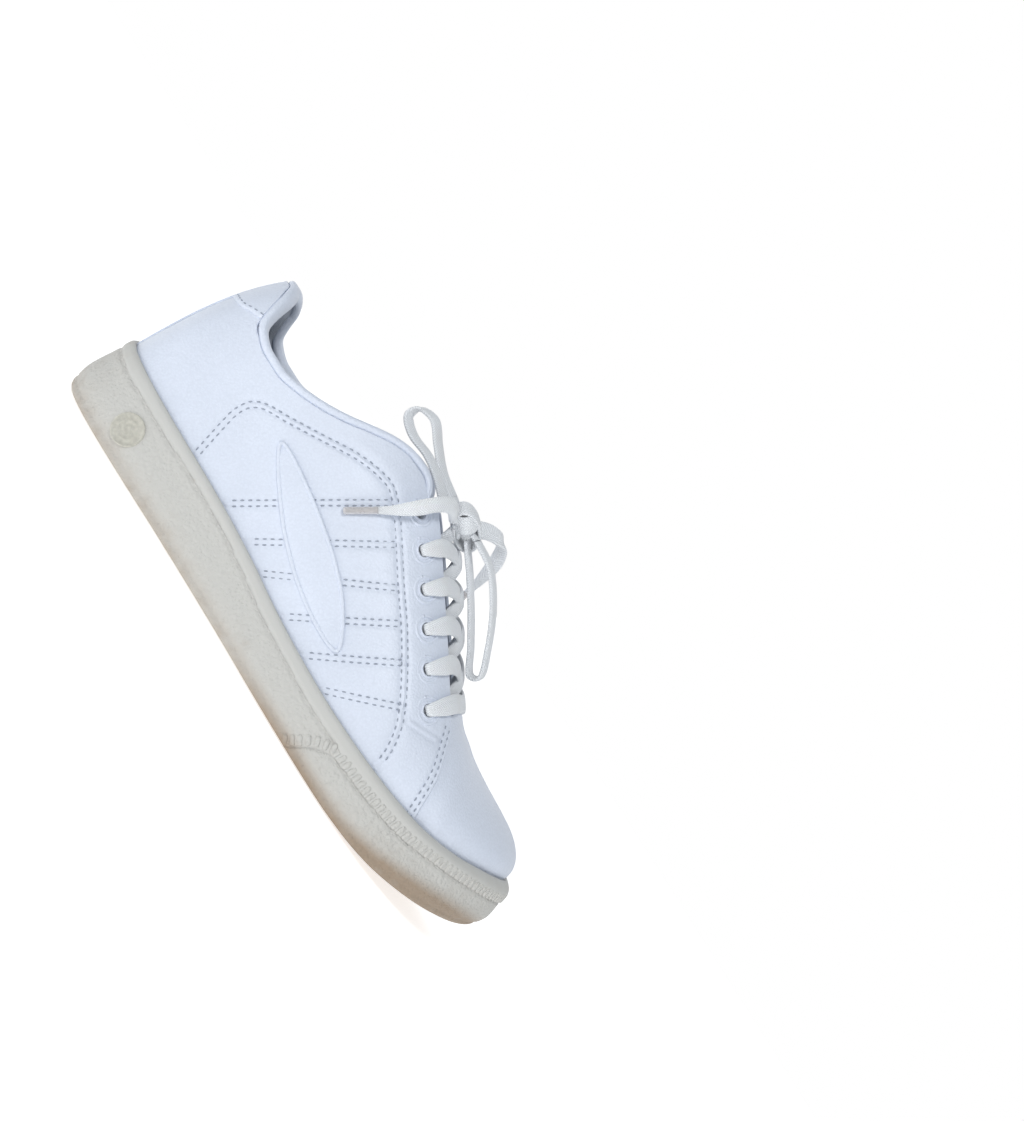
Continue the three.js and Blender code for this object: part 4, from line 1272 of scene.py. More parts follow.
    def teeth(self, looks: Finishes) -> None:
        """The row of short ribs that rises from the ground and runs round the toe.

        Args:
            looks: the shoe's finishes.
        """
        form = Form()
        corner = rounded_run(RIB_LINE[:6], False, 12)
        corner = corner[corner[:, 0] < self.row_start[0]]
        start = resample(corner, int(run_length(corner)[-1] / self.tooth_pitch) + 1)[:-1]
        turned = directions(start)
        out = np.stack([-turned[:, 1], turned[:, 0]], 1)
        size = (self.tooth_length, self.tooth_width, self.tooth_height, self.tooth_squareness, 7, 8)
        for hand in (-1, 1):
            foot, tip = (self.wall(hand, *self.on_wall(hand, *(start + out * reach).T), True)
                         for reach in (self.tooth_gap, self.tooth_gap + self.tooth_length))
            middle = start + out * (self.tooth_gap + self.tooth_length / 2)
            normal = self.facing(hand, *self.on_wall(hand, *middle.T))[1]
            studs(form, (foot + tip) / 2, tip - foot, normal, *size)
            first = float(self.on_wall(hand, *np.array(self.row_start)[:, None])[0][0])
            count = int((1 - first) * self.last.perimeter / 2 / self.tooth_pitch)
            u = np.linspace(first, 1, count)[: count if hand < 0 else count - 1]
            f = np.full(u.shape, 0.5)
            for _ in range(8):
                x = self.wall(hand, u, f, True)[..., 0]
                ground, top = self.span(hand, u)
                f = np.clip((self.rib(x) + self.tooth_length / 2 - ground) / (top - ground), 0, 1)
            place, normal, upward, _ = self.facing(hand, u, f)
            studs(form, place, upward, normal, *size)
        made = form.piece("toe_ribs", self.last)
        dress(made, looks.rubber)

    def badge(self, hand: Hand, looks: Finishes) -> None:
        """The disc in the heel: a turned form with a rim and two plain rings.

        Args:
            hand: the side of the shoe.
            looks: the shoe's finishes.
        """
        u, f = self.on_wall(hand.value, np.array([BADGE_AT[0]]), np.array([BADGE_AT[1]]))
        place, normal, _, _ = self.facing(hand.value, u, f)
        form = Form()
        radii = [0.01, 7.0, 7.0, 6.8, 6.2, 5.9, 4.4, 4.2, 3.7, 3.5, 1.9, 1.7, 1.2, 1.0, 0.01]
        heights = [-1.1, -1.1, 0.35, 0.62, 0.62, 0.28, 0.28, 0.46, 0.46, 0.28, 0.28, 0.46, 0.46, 0.28, 0.28]
        lathe(form, place[0], normal[0], radii, heights, 48)
        name = f"badge_{hand.name.lower()}"
        dress(form.piece(name + "_fine", self.last), looks.badge, stands_for=[name])


# ---- Upper ----------------------------------------------------------------------------------
@dataclass
class Upper:
    """Leather panels, linings, padded collar and rolled edge, all layers of the last."""

    last: Last
    columns: int = 300
    rows: int = 120
    roll_end: float = 114.0
    row_half_gap: float = 1.15
    stitch_pitch: float = 3.15
    stitch_length: float = 1.8
    stitch_width: float = 0.7
    stitch_height: float = 0.6
    strip: float = 7.0
    ring_radii: tuple[float, float] = (5.3, 3.15)

    def __post_init__(self) -> None:
        """Tabulates where the collar line and the front seam cross the last."""
        self.seam = SmoothLine([[z, x] for x, z in reversed(FRONT_SEAM)])
        self.tab = SmoothLine([[-14, 73.4], *HEEL_TAB, *TAB_END])
        self.u_table = np.linspace(0, 1, 500)
        self.v_table = np.linspace(0, 1, 300)
        self.edges: dict[tuple, Array] = {}

    def roll_drop(self, x: Array) -> Array:
        """How far the leather's edge lies below the collar line: the roll's height, and nothing past it."""
        return 3.7 * (1 - smooth((x - self.roll_end) / 8)) + 0.2

    def v_top(self, hand: int, u: Array, drop: float = 0.0) -> Array:
        """Row share where the panels end under the collar line, `drop` millimetres lower.

        Args:
            hand: -1 lateral, 1 medial.
            u: 0 at the heel to 1 at the toe.
            drop: how much lower the edge lies.

        Returns:
            The row share on each section.
        """
        key = ("top", hand, drop)
        if key not in self.edges:
            def below(p: Array) -> Array:
                """Whether places lie under the panels' edge.

                Args:
                    p: places (x, y, z) in the last axis.

                Returns:
                    True where they do.
                """
                x = p[..., 0]
                slope = (self.last.collar(x + 0.5) - self.last.collar(x - 0.5))
                lower = (self.roll_drop(x) + drop) * np.sqrt(1 + slope**2)
                return p[..., 2] < self.last.collar(x) - np.minimum(lower, (self.roll_drop(x) + drop) * 1.6)
            self.edges[key] = self.last.v_at(hand, self.u_table, below)
        return np.interp(u, self.u_table, self.edges[key])

    def u_front(self, hand: int, v: Array, shift: float) -> Array:
        """Section where the front seam crosses each row, moved along the shoe by `shift`.

        Args:
            hand: -1 lateral, 1 medial.
            v: 0 at the foot of the wall to 1 at the ridge.
            shift: how far the seam is moved.

        Returns:
            The section on each row.
        """
        key = ("front", hand, shift)
        if key not in self.edges:
            self.edges[key] = self.last.u_at(
                hand, self.v_table, lambda p: p[..., 0] < self.seam(p[..., 2]) + shift)
        return np.interp(v, self.v_table, self.edges[key])

    def patch(self, hand: int, u_low: Callable, u_high: Callable, v_low: Callable, v_high: Callable,
              columns: int, rows: int) -> tuple[Array, Array]:
        """Grid of (u, v) between four edges, blended from them so that each edge is met exactly.

        Args:
            hand: -1 lateral, 1 medial.
            u_low: rear edge, a function of v.
            u_high: front edge, a function of v.
            v_low: lower edge, a function of u.
            v_high: upper edge, a function of u.
            columns: places along the shoe.
            rows: places up it, evenly spaced along the front edge.

        Returns:
            The parameters u and v, rows by columns.
        """
        def corner(side: Callable, edge: Callable) -> float:
            """Row share where a side edge meets a lower or upper edge, by halving.

            Args:
                side: rear or front edge, a function of v.
                edge: lower or upper edge, a function of u.

            Returns:
                The row share.
            """
            low, high = 0.0, 1.0
            for _ in range(30):
                middle = (low + high) / 2
                above = edge(side(np.array([middle])))[0] > middle
                low, high = (middle, high) if above else (low, middle)
            return low

        low_left, high_left = corner(u_low, v_low), corner(u_low, v_high)
        low_right, high_right = corner(u_high, v_low), corner(u_high, v_high)
        fine = np.linspace(0, 1, 400)
        up = low_right + (high_right - low_right) * fine
        run = run_length(self.last.point(hand, u_high(up), up))
        b = np.interp(np.linspace(0, run[-1], rows), run, fine)[:, None]
        a = np.linspace(0, 1, columns)[None]
        v_left = low_left + (high_left - low_left) * b
        v_right = low_right + (high_right - low_right) * b
        rear, front = u_low(v_left), u_high(v_right)
        u_bottom = rear[:1] * (1 - a) + front[:1] * a
        u_top = rear[-1:] * (1 - a) + front[-1:] * a
        u = rear * (1 - a) + front * a
        straight_low = low_left * (1 - a) + low_right * a
        straight_high = high_left * (1 - a) + high_right * a
        v = v_left * (1 - a) + v_right * a
        v = v + (1 - b) * (v_low(u_bottom) - straight_low) + b * (v_high(u_top) - straight_high)
        return u, v

    def relief(self, place: Array) -> Array:
        """How far stitch rows, channels, holes and wear press the quarter in, in millimetres.

        Args:
            place: places (x, y, z) on the skin.

        Returns:
            The depth at each place.
        """
        x, z = place[..., 0], place[..., 2]
        pressed = np.zeros(x.shape)
        for line in [PANEL_STITCH, *SLANTED_STITCHES, [[185, 45.5], [197, 50.4]]]:
            near = distance_to(line, x, z)
            pressed += 0.42 * np.exp(-(((near - self.row_half_gap) / 0.75) ** 2))
            pressed -= 0.22 * np.exp(-((near / 1.0) ** 2))
            pressed -= 0.12 * np.exp(-(((near - 4.6) / 2.2) ** 2))
        for shift in (1.8, 4.2):
            row = [[a - shift, b] for a, b in FRONT_SEAM]
            pressed += 0.3 * np.exp(-((distance_to(row, x, z) / 0.7) ** 2))
        sag = np.sin(x / 13 + z / 17) * np.sin(x / 29 - z / 11 + 1) * 0.16
        folds = np.sin((x * 0.8 + z * 0.6) / 2.6 + np.sin(z / 7)) * 0.07 * smooth((x - 150) / 40)
        return pressed + sag + folds

    def eyelets(self, hand: int) -> tuple[Array, Array]:
        """Places and normals of the lace holes."""
        return self.last.onto(hand, np.array(EYELETS), 0.0)

    def quarter(self, hand: Hand, looks: Finishes) -> None:
        """Side panel from the heel to the front seam, with its pressed stitch rows and lace holes.

        Args:
            hand: the side of the shoe.
            looks: the shoe's finishes.
        """
        h = hand.value
        u, v = self.patch(h, near_edge, lambda v: self.u_front(h, v, 0), foot_edge,
                          lambda u: self.v_top(h, u), self.columns, self.rows)
        base, _ = self.last.skin(h, u, v, 0)
        depth = self.relief(base)
        hole = np.zeros(u.shape)
        for centre in self.eyelets(h)[0]:
            near = np.linalg.norm(base - centre, axis=-1)
            hole = np.maximum(hole, smooth((EYELET_HOLE / 2 + 0.45 - near) / 0.9))
        edge = np.zeros(u.shape)
        edge[-1], edge[:, -1] = 0.45, 0.45
        outer, _ = self.last.skin(h, u, v, depth + edge + 2.6 * hole)
        thick = 1.5 - 0.6 * smooth((u / np.maximum(self.u_front(h, v, 0), 0.1) - 0.9) / 0.08)
        inner, _ = self.last.skin(h, u, v, thick + 1.6 * hole)
        form = Form()
        # the hole mask is also the zone: the leather's finish paints shade, dark grey, into the lace holes
        form.shell(outer, inner, h > 0, hole)
        name = f"quarter_{hand.name.lower()}"
        dress(form.piece(name + "_fine", self.last), looks.leather, stands_for=[name])

    def vamp(self, looks: Finishes) -> None:
        """Front of the upper, tucked under both quarters, from the throat round the toe.

        Args:
            looks: the shoe's finishes.
        """
        outer, inner, lining = [], [], []
        for h in (-1, 1):
            u, v = self.patch(h, lambda v, h=h: self.u_front(h, v, -5), far_edge, foot_edge, far_edge,
                              170, 90)
            place, _ = self.last.skin(h, u, v, 0)
            ahead = place[..., 0] - self.seam(place[..., 2])
            x, z = place[..., 0], place[..., 2]
            folds = np.sin(ahead / 2.3 + np.sin(z / 5)) * 0.09 * np.exp(-(((ahead - 9) / 9) ** 2))
            sag = np.sin(x / 15 + z / 9) * 0.14
            tuck = 1.0 - 0.75 * smooth((ahead - 2) / 10)
            outer.append(self.last.skin(h, u, v, tuck + folds + sag)[0])
            inner.append(self.last.skin(h, u, v, 2.2)[0])
            lining.append([self.last.skin(h, u, v, d)[0] for d in (LINING_OUTSIDE, LINING_DEPTH)])
        form = Form()
        joined = [np.concatenate([pair[0], pair[1][-2::-1]]) for pair in (outer, inner)]
        form.shell(*joined)
        dress(form.piece("vamp_fine", self.last), looks.leather, stands_for=["vamp"])
        form = Form()
        joined = [np.concatenate([lining[0][i], lining[1][i][-2::-1]])[:, ::2] for i in (0, 1)]
        form.shell(*joined)
        made = form.piece("vamp_lining_fine", self.last)
        dress(made, looks.lining, stands_for=["vamp_lining"])

    def both(self, make: Callable[[int], tuple[Array, Array]]) -> tuple[Array, Array]:
        """Two grids that run from the lateral side round the heel to the medial side.

        Args:
            make: gives one side's outer and inner grid.

        Returns:
            The outer and the inner grid.
        """
        (lateral_out, lateral_in), (medial_out, medial_in) = make(-1), make(1)
        return (np.concatenate([lateral_out[:, :0:-1], medial_out], 1),
                np.concatenate([lateral_in[:, :0:-1], medial_in], 1))

    def heel_patch(self, looks: Finishes) -> None:
        """Tab round the top of the heel with the narrow strip down to the sole, over both quarters.

        Args:
            looks: the shoe's finishes.
        """
        def behind(p: Array) -> Array:
            """Whether places lie on the strip or on the tab."""
            x, y, z = p[..., 0], p[..., 1], p[..., 2]
            return (np.abs(y) < self.strip) | ((z > self.tab(x)) & (x < TAB_END[-1][0]))

        def make(h: int) -> tuple[Array, Array]:
            """One side's outer and inner grid.

            Args:
                h: -1 lateral, 1 medial.

            Returns:
                The two grids.
            """
            limit = self.last.u_at(h, self.v_table, behind)
            u, v = self.patch(h, near_edge, lambda v: np.interp(v, self.v_table, limit),
                              foot_edge, lambda u: self.v_top(h, u), 46, 170)
            rim = np.zeros(u.shape)
            rim[:, -1] = 0.4
            return self.last.skin(h, u, v, rim - 0.75)[0], self.last.skin(h, u, v, -0.02)[0]

        form = Form()
        form.shell(*self.both(make))
        made = form.piece("heel_patch_fine", self.last)
        dress(made, looks.leather, stands_for=["heel_patch"])

    def linings(self, looks: Finishes) -> None:
        """Quarter linings, and the padded collar band with its cloth over the foam.

        Args:
            looks: the shoe's finishes.
        """
        for hand in Hand:
            h = hand.value
            u, v = self.patch(h, near_edge, lambda v: self.u_front(h, v, -4), foot_edge,
                              lambda u: self.v_top(h, u, 1.2), 120, 60)
            form = Form()
            faces = [self.last.skin(h, u, v, depth)[0] for depth in (LINING_OUTSIDE, LINING_DEPTH)]
            form.shell(*faces, h > 0)
            name = f"quarter_lining_{hand.name.lower()}"
            dress(form.piece(name + "_fine", self.last), looks.lining, stands_for=[name])

        columns, rows = 110, 26

        def make(h: int) -> tuple[Array, Array]:
            """One side's outer and inner grid of the pad.

            Args:
                h: -1 lateral, 1 medial.

            Returns:
                The two grids.
            """
            end = self.last.u_at(h, self.v_table, lambda p: p[..., 0] < EYELETS[0][0] - 4)
            u, v = self.patch(h, near_edge, lambda v: np.interp(v, self.v_table, end),
                              lambda u: self.v_top(h, u, COLLAR_BAND), lambda u: self.v_top(h, u, 0.0),
                              columns, rows)
            b = np.linspace(0, 1, rows)[:, None]
            puff = np.sqrt(np.maximum(1 - (2 * b - 1) ** 4, 0))
            quilt = 0.35 * np.exp(-(((b - 0.2) / 0.05) ** 2))
            ahead = smooth((1 - np.linspace(0, 1, columns)[None]) * 7)
            swell = COLLAR_LINING_DEPTH - LINING_DEPTH + 0.1
            inner = LINING_DEPTH + 0.1 + swell * puff * ahead - quilt * ahead
            return self.last.skin(h, u, v, 1.9)[0], self.last.skin(h, u, v, inner)[0]

        form = Form()
        form.shell(*self.both(make))
        pad = dress(form.piece("collar_pad", self.last), looks.lining,
                    stands_for=["collar_foam", "collar_lining"])

    def roll(self, looks: Finishes) -> None:
        """Rolled edge: an oval carried along the collar line, over the leather and the lining.

        Args:
            looks: the shoe's finishes.
        """
        sides = []
        for h in (-1, 1):
            end = self.last.u_at(h, np.array([0.93]), lambda p: p[..., 0] < 121)
            u = np.linspace(0, float(end[0]), 150)
            held = smooth((u[-1] - u) / 0.045)
            v = self.v_top(h, u, -1.7) * held + self.v_top(h, u, 1.2) * (1 - held)
            sides.append(self.last.skin(h, u, v, COLLAR_LINING_DEPTH / 2 - 0.1))
        path = np.concatenate([sides[0][0][:0:-1], sides[1][0]])
        normals = np.concatenate([sides[0][1][:0:-1], sides[1][1]])
        for _ in range(6):
            path[1:-1] = (path[:-2] + 2 * path[1:-1] + path[2:]) / 4
            normals[1:-1] = (normals[:-2] + 2 * normals[1:-1] + normals[2:]) / 4
        along = directions(path)
        upward = np.cross(along, normals)
        number = np.arange(len(path))
        taper = smooth(np.minimum(number, number[::-1]) / 10) * 0.55 + 0.45
        form = Form()
        band(form, path, upward, (COLLAR_LINING_DEPTH + 1.0) * taper, COLLAR_ROLL_HEIGHT * taper, 20, 0.8)
        made = form.piece("collar_roll_fine", self.last)
        dress(made, looks.leather, stands_for=["collar_roll"])

    def row(self, form: Form, hand: int, line: Route, side: float, lift: float) -> None:
        """Adds one row of stitches along a line in side view, moved sideways by `side`.

        Args:
            form: the form it joins.
            hand: -1 lateral, 1 medial.
            line: places in side view.
            side: how far the row is moved sideways.
            lift: how far it stands above the skin.
        """
        run = rounded_run(line, False, 12) if len(line) > 2 else np.array(line, float)
        run = resample(run, 400)
        d = directions(run)
        run = run + np.stack([-d[:, 1], d[:, 0]], 1) * side
        surface, _ = self.last.onto(hand, run[::8], 0.0)
        along = run_length(surface)
        at = np.arange(self.stitch_pitch * 0.6, along[-1] - self.stitch_pitch * 0.4, self.stitch_pitch)
        xs = np.interp(at, along, run[::8, 0])
        zs = np.interp(at, along, run[::8, 1])
        centre, normal = self.last.onto(hand, np.stack([xs, zs], 1), -lift)
        tangent = np.stack([np.interp(at, along, c) for c in directions(surface).T], 1)
        studs(form, centre, tangent, normal, self.stitch_length, self.stitch_width, self.stitch_height)

    def stitches(self, hand: Hand, looks: Finishes) -> None:
        """Every row of stitches on one side.

        Args:
            hand: the side of the shoe.
            looks: the shoe's finishes.
        """
        h = hand.value
        form = Form()
        for line in (PANEL_STITCH, *SLANTED_STITCHES):
            for side in (-self.row_half_gap, self.row_half_gap):
                self.row(form, h, line, side, -0.2)
        for shift in (1.8, 4.2):
            self.row(form, h, [[x - shift, z] for x, z in FRONT_SEAM[:-1]], 0, -0.1)
        self.row(form, h, [[x, z + 1.8] for x, z in HEEL_TAB], 0, 0.8)
        dress(form.piece(f"stitches_{hand.name.lower()}", self.last), looks.thread)

    def rings(self, hand: Hand, looks: Finishes) -> None:
        """Two pressed rings round every lace hole, laid on the leather.

        Args:
            hand: the side of the shoe.
            looks: the shoe's finishes.
        """
        h = hand.value
        form = Form()
        centres, normals = self.eyelets(h)
        angle = np.linspace(0, 2 * np.pi, 41)
        for centre, normal in zip(centres, normals):
            first = np.cross(normal, [0, 1, 0])
            first /= np.linalg.norm(first)
            second = np.cross(normal, first)
            for radius, width, height in zip(self.ring_radii, (1.3, 1.1), (0.8, 0.9)):
                circle = centre + radius * (np.cos(angle)[:, None] * first + np.sin(angle)[:, None] * second)
                path, out = self.last.onto(h, circle[:, [0, 2]], 0.0)
                band(form, path, out, width, height, 10, 0.9)
        dress(form.piece(f"hole_rings_{hand.name.lower()}", self.last), looks.leather)

    def side_pad(self, hand: Hand, looks: Finishes) -> None:
        """Plain pointed leaf on the side: a low crowned pad with a cord round it.

        Args:
            hand: the side of the shoe.
            looks: the shoe's finishes.
        """
        h = hand.value
        rim = resample(rounded_run(LEAF, True, 24), 161)
        rim = np.concatenate([rim[:-1], rim[:1]])
        tip = np.argmax(np.hypot(*(rim - rim.mean(0)).T))
        rim = np.roll(rim[:-1], -tip, 0)
        half = len(rim) // 2
        upper, lower = rim[: half + 1], np.concatenate([rim[:1], rim[:half - 1:-1]])
        share = np.linspace(0, 1, 29)[None, :, None]
        grid = upper[:, None] * (1 - share) + lower[:, None] * share
        flat_run = grid.reshape(-1, 2)
        u, v = self.last.locate(h, flat_run[:, 0], flat_run[:, 1])
        number = np.arange(half + 1)
        ends = smooth(np.minimum(number, number[::-1]) / 6)[:, None]
        crown = np.sqrt(np.maximum(1 - (2 * share[..., 0] - 1) ** 4, 0)) * ends
        top = self.last.skin(h, u, v, -(0.1 + 1.0 * crown.ravel()))[0].reshape(*grid.shape[:2], 3)
        under = self.last.skin(h, u, v, 0.1)[0].reshape(*grid.shape[:2], 3)
        form = Form()
        form.shell(top, under, h < 0)
        name = f"side_pad_{hand.name.lower()}"
        dress(form.piece(name + "_fine", self.last), looks.leather, stands_for=[name])
        form = Form()
        ring, out = self.last.onto(h, np.concatenate([rim, rim[:1]]), -0.35)
        band(form, ring, out, 1.7, 1.5, 10, 0.9)
        dress(form.piece(f"pad_cord_{hand.name.lower()}", self.last), looks.leather)

    def sockliner(self, looks: Finishes) -> None:
        """Insole: its edge follows the linings and its top is dished a little.

        Args:
            looks: the shoe's finishes.
        """
        u = np.linspace(0, 1, 160)[:, None]
        inset = self.last.bead_inset(u) + LINING_DEPTH + 0.8
        edges = [self.last.outline(h, u, inset) for h in (-1, 1)]
        share = np.linspace(0, 1, 33)[None, :, None]
        flat = edges[0] * (1 - share) + edges[1] * share
        low = self.last.top(flat[..., 0]) - SEAT_DEPTH + CLEARANCE
        rim = np.abs(2 * share[..., 0] - 1) ** 6
        top = low + 2.9 + 1.3 * rim
        form = Form()
        form.shell(np.concatenate([flat, top[..., None]], -1), np.concatenate([flat, low[..., None]], -1))
        dress(form.piece("sockliner_fine", self.last), looks.sock, stands_for=["sockliner"])

    def build(self, looks: Finishes) -> None:
        """Makes every piece of the upper.

        Args:
            looks: the shoe's finishes.
        """
        for hand in Hand:
            self.quarter(hand, looks)
            self.stitches(hand, looks)
            self.rings(hand, looks)
            self.side_pad(hand, looks)
        self.vamp(looks)
        self.heel_patch(looks)
        self.linings(looks)
        self.roll(looks)
        self.sockliner(looks)


# ---- Tongue ---------------------------------------------------------------------------------
@dataclass
class Tongue:
    """Padded tongue: a leather face on foam with a cloth back, one swelling pad with bound edges."""

    last: Last
    start: float = 111.0
    end: float = 203.0
    widths: tuple = ((110, 15), (116, 20.5), (126, 22.5), (150, 22.5), (180, 18.5), (203, 13))

    def build(self, looks: Finishes) -> None:
        """The pad's two faces lie half its thickness each side of a middle layer under the lace.

        Args:
            looks: the shoe's finishes.
        """
        width = SmoothLine([list(w) for w in self.widths])
        rows, columns = 90, 25
        halves = {}
        for h in (-1, 1):
            low, high = (float(self.last.u_at(h, np.array([1.0]), lambda p, x=x: p[..., 0] < x)[0])
                         for x in (self.start, self.end))
            u_line = np.linspace(low, high, rows)
            edge = self.last.v_at(h, u_line, lambda p: (
                np.abs(p[..., 1] - self.last.ridge_side(p[..., 0])) > width(p[..., 0])))
            s = np.sin(np.linspace(0, np.pi / 2, columns))[None]
            v = 1 - (1 - edge[:, None]) * s
            u = np.broadcast_to(u_line[:, None], v.shape)
            t = np.linspace(0, 1, rows)[:, None]
            half = TONGUE_THICKNESS / 2 * np.sqrt(np.maximum(1 - s**8, 0))
            half = half * np.sqrt(np.maximum(1 - (1 - 2 * t) ** 24, 0))
            half = half * (1 - 0.45 * smooth((t - 0.8) / 0.2))
            middle = TONGUE_SKIN + TONGUE_THICKNESS / 2
            halves[h] = [self.last.skin(h, u, v, middle + sign * half)[0] for sign in (-1, 1)]
        outer, inner = (np.concatenate([halves[-1][i][:, :0:-1], halves[1][i]], 1) for i in (0, 1))
        face, back = Form(), Form()
        face.shell(outer, (outer * 0.8 + inner * 0.2))
        back.shell((outer * 0.78 + inner * 0.22), inner)
        made = face.piece("tongue_face", self.last)
        dress(made, looks.leather, "tongue", ["tongue_shell"])
        pad = dress(back.piece("tongue_pad", self.last), looks.foam, "tongue",
                    ["tongue_foam", "tongue_lining"])


# ---- Laces ----------------------------------------------------------------------------------
@dataclass
class Lace:
    """Flat woven lace: crossed strands, knot, two ears of the bow and two tails with tips."""

    last: Last
    knot_at: tuple[float, float, float] = (129.0, 0.0, 5.1)
    knot_half: tuple[float, float, float] = (7.6, 9.4, 4.6)
    edge_ahead: float = 3.4
    tip_width: float = 3.2

    def over(self, x: float, y: float, depth: float) -> tuple[Array, Array]:
        """A place over the throat, below the ridge by a depth, and the way out there.

        Args:
            x: distance along the shoe.
            y: distance from the ridge, sideways.
            depth: how far below the ridge.

        Returns:
            The place and the way out.
        """
        slope = float(self.last.ridge(x + 1) - self.last.ridge(x - 1)) / 2
        normal = np.array([-slope, 0, 1]) / math.hypot(slope, 1)
        place = np.array([x, float(self.last.ridge_side(x)) + y, float(self.last.ridge(x))])
        return place - normal * depth, normal

    def beside(self, hand: int, index: int, depth: float, rise: float) -> tuple[Array, Array]:
        """A place on the edge of the leather beside a lace hole.

        Args:
            hand: -1 lateral, 1 medial.
            index: the hole's number, from the top.
            depth: how far below the skin.
            rise: how far above the collar line.

        Returns:
            The place and the way out.
        """
        x = EYELETS[index][0] + self.edge_ahead
        at = np.array([[x, float(self.last.collar(x)) + rise]])
        places, normals = self.last.onto(hand, at, depth)
        return places[0], normals[0]

    def strand(self, form: Form, stops: list[tuple[Array, Array, float]]) -> None:
        """Adds a strand through stops of place, way out and width.

        Args:
            form: the form it joins.
            stops: place, way out and width of each stop.
        """
        path = rounded_run([s[0] for s in stops], False, 12)
        share = np.linspace(0, len(stops) - 1, len(path))
        numbers = np.arange(len(stops))
        normals = np.stack([np.interp(share, numbers, [s[1][i] for s in stops]) for i in range(3)], 1)
        width = np.interp(share, numbers, [s[2] for s in stops])
        band(form, path, normals, width, LACE_LOFT + 0.25 * (1 - width / LACE_WIDTH) * 4, 18, 0.6)

    def from_hole(self, hand: int, index: int) -> list[tuple[Array, Array, float]]:
        """The stops where the lace comes up out of a hole, puffs up and turns over the edge.

        Args:
            hand: -1 lateral, 1 medial.
            index: the hole's number, from the top.

        Returns:
            Place, way out and width of each stop.
        """
        holes, outs = self.holes[hand]
        hole, out = holes[index], outs[index]
        edge, edge_out = self.beside(hand, index, -1.3, 0.0)
        half = hole * 0.5 + edge * 0.5 + out * 2.0
        return [(hole - out * 2.4, out, 4.2), (hole + out * 0.5, out, 4.8),
                (half, (out + edge_out) / 2, 7.4), (edge, edge_out, LACE_WIDTH)]

    def threaded(self, looks: Finishes) -> None:
        """Strands from hole to hole over the tongue, the bar at the throat and the two risers.

        Args:
            looks: the shoe's finishes.
        """
        form = Form()
        for hand in (-1, 1):
            lift = 0.75 * hand
            for i in range(1, 5):
                middle, out = self.over((EYELETS[i][0] + EYELETS[i + 1][0]) / 2 + 4, 0, -0.3 - lift)
                under, under_out = self.beside(-hand, i + 1, LACE_INSIDE, 0.8)
                holes, outs = self.holes[-hand]
                deep = holes[i + 1] - outs[i + 1] * LACE_INSIDE
                self.strand(form, [*self.from_hole(hand, i), (middle, out, 7.2), (under, under_out, 6.6),
                                   (deep, outs[i + 1], 4.6)])
            holes, outs = self.holes[hand]
            under, under_out = self.beside(hand, 1, LACE_INSIDE, 0.8)
            top, out = self.over(self.knot_at[0] + 1, 3.0 * hand, -1.2)
            deep = holes[1] - outs[1] * LACE_INSIDE
            self.strand(form, [(deep, outs[1], 4.6), (under, under_out, 6.6), (top, out, 6.6)])
        bar, out = self.over(EYELETS[5][0] + 6.5, 0, -1.5)
        self.strand(form, [*self.from_hole(-1, 5), (bar, out, LACE_WIDTH), *reversed(self.from_hole(1, 5))])
        made = form.piece("lace_threaded_fine", self.last)
        dress(made, looks.lace, stands_for=["lace_threaded"])

    def knot(self, looks: Finishes, roots: list[tuple[Array, Array]]) -> None:
        """Round core with two turns of lace over it and a stub to each free end.

        Args:
            looks: the shoe's finishes.
            roots: where each free end leaves the knot, with the way its face looks.
        """
        centre, out = self.over(self.knot_at[0], self.knot_at[1], -self.knot_at[2])
        along = np.cross([0, 1.0, 0], out)
        side = np.array([0, 1.0, 0])
        form = Form()
        around = np.linspace(0, 2 * np.pi, 25)[:-1]
        rings = []
        for t in np.linspace(-0.97, 0.97, 13):
            r = math.sqrt(1 - t * t)
            a, b, c = self.knot_half
            rings.append(centre + along * a * 0.86 * t + r * 0.86 * (
                np.cos(around)[:, None] * side * b + np.sin(around)[:, None] * out * c))
        form.tube(np.array(rings), np.linspace(0, 14, 13), np.linspace(0, 40, 25))
        for tilt, turns, grow, shift in ((0.35, 1.12, 1.0, -1.9), (-0.75, 1.08, 1.16, 1.2)):
            axis = along * math.cos(tilt) + side * math.sin(tilt)
            other = np.cross(out, axis)
            t = np.linspace(-0.55 * turns, 0.55 * turns, 90)
            c, s = np.cos(t * 2 * np.pi)[:, None], np.sin(t * 2 * np.pi)[:, None]
            radial = out * c + other * s
            path = centre + out * c * self.knot_half[2] * grow + other * s * self.knot_half[1] * grow * 0.96
            path = path + axis * (shift + t[:, None] * 3.0)
            band(form, path, radial, LACE_WIDTH * 0.95, LACE_LOFT, 18, 0.6)
        for place, normal in roots:
            inner = centre + (place - centre) * 0.35
            path = resample(np.stack([inner, place]), 12)
            wide = np.linspace(4.6, FREE_WIDTH, 12)
            band(form, path, np.broadcast_to(normal, path.shape), wide, LACE_LOFT, 18, 0.6)
        dress(form.piece("lace_knot_fine", self.last), looks.lace, stands_for=["lace_knot"])

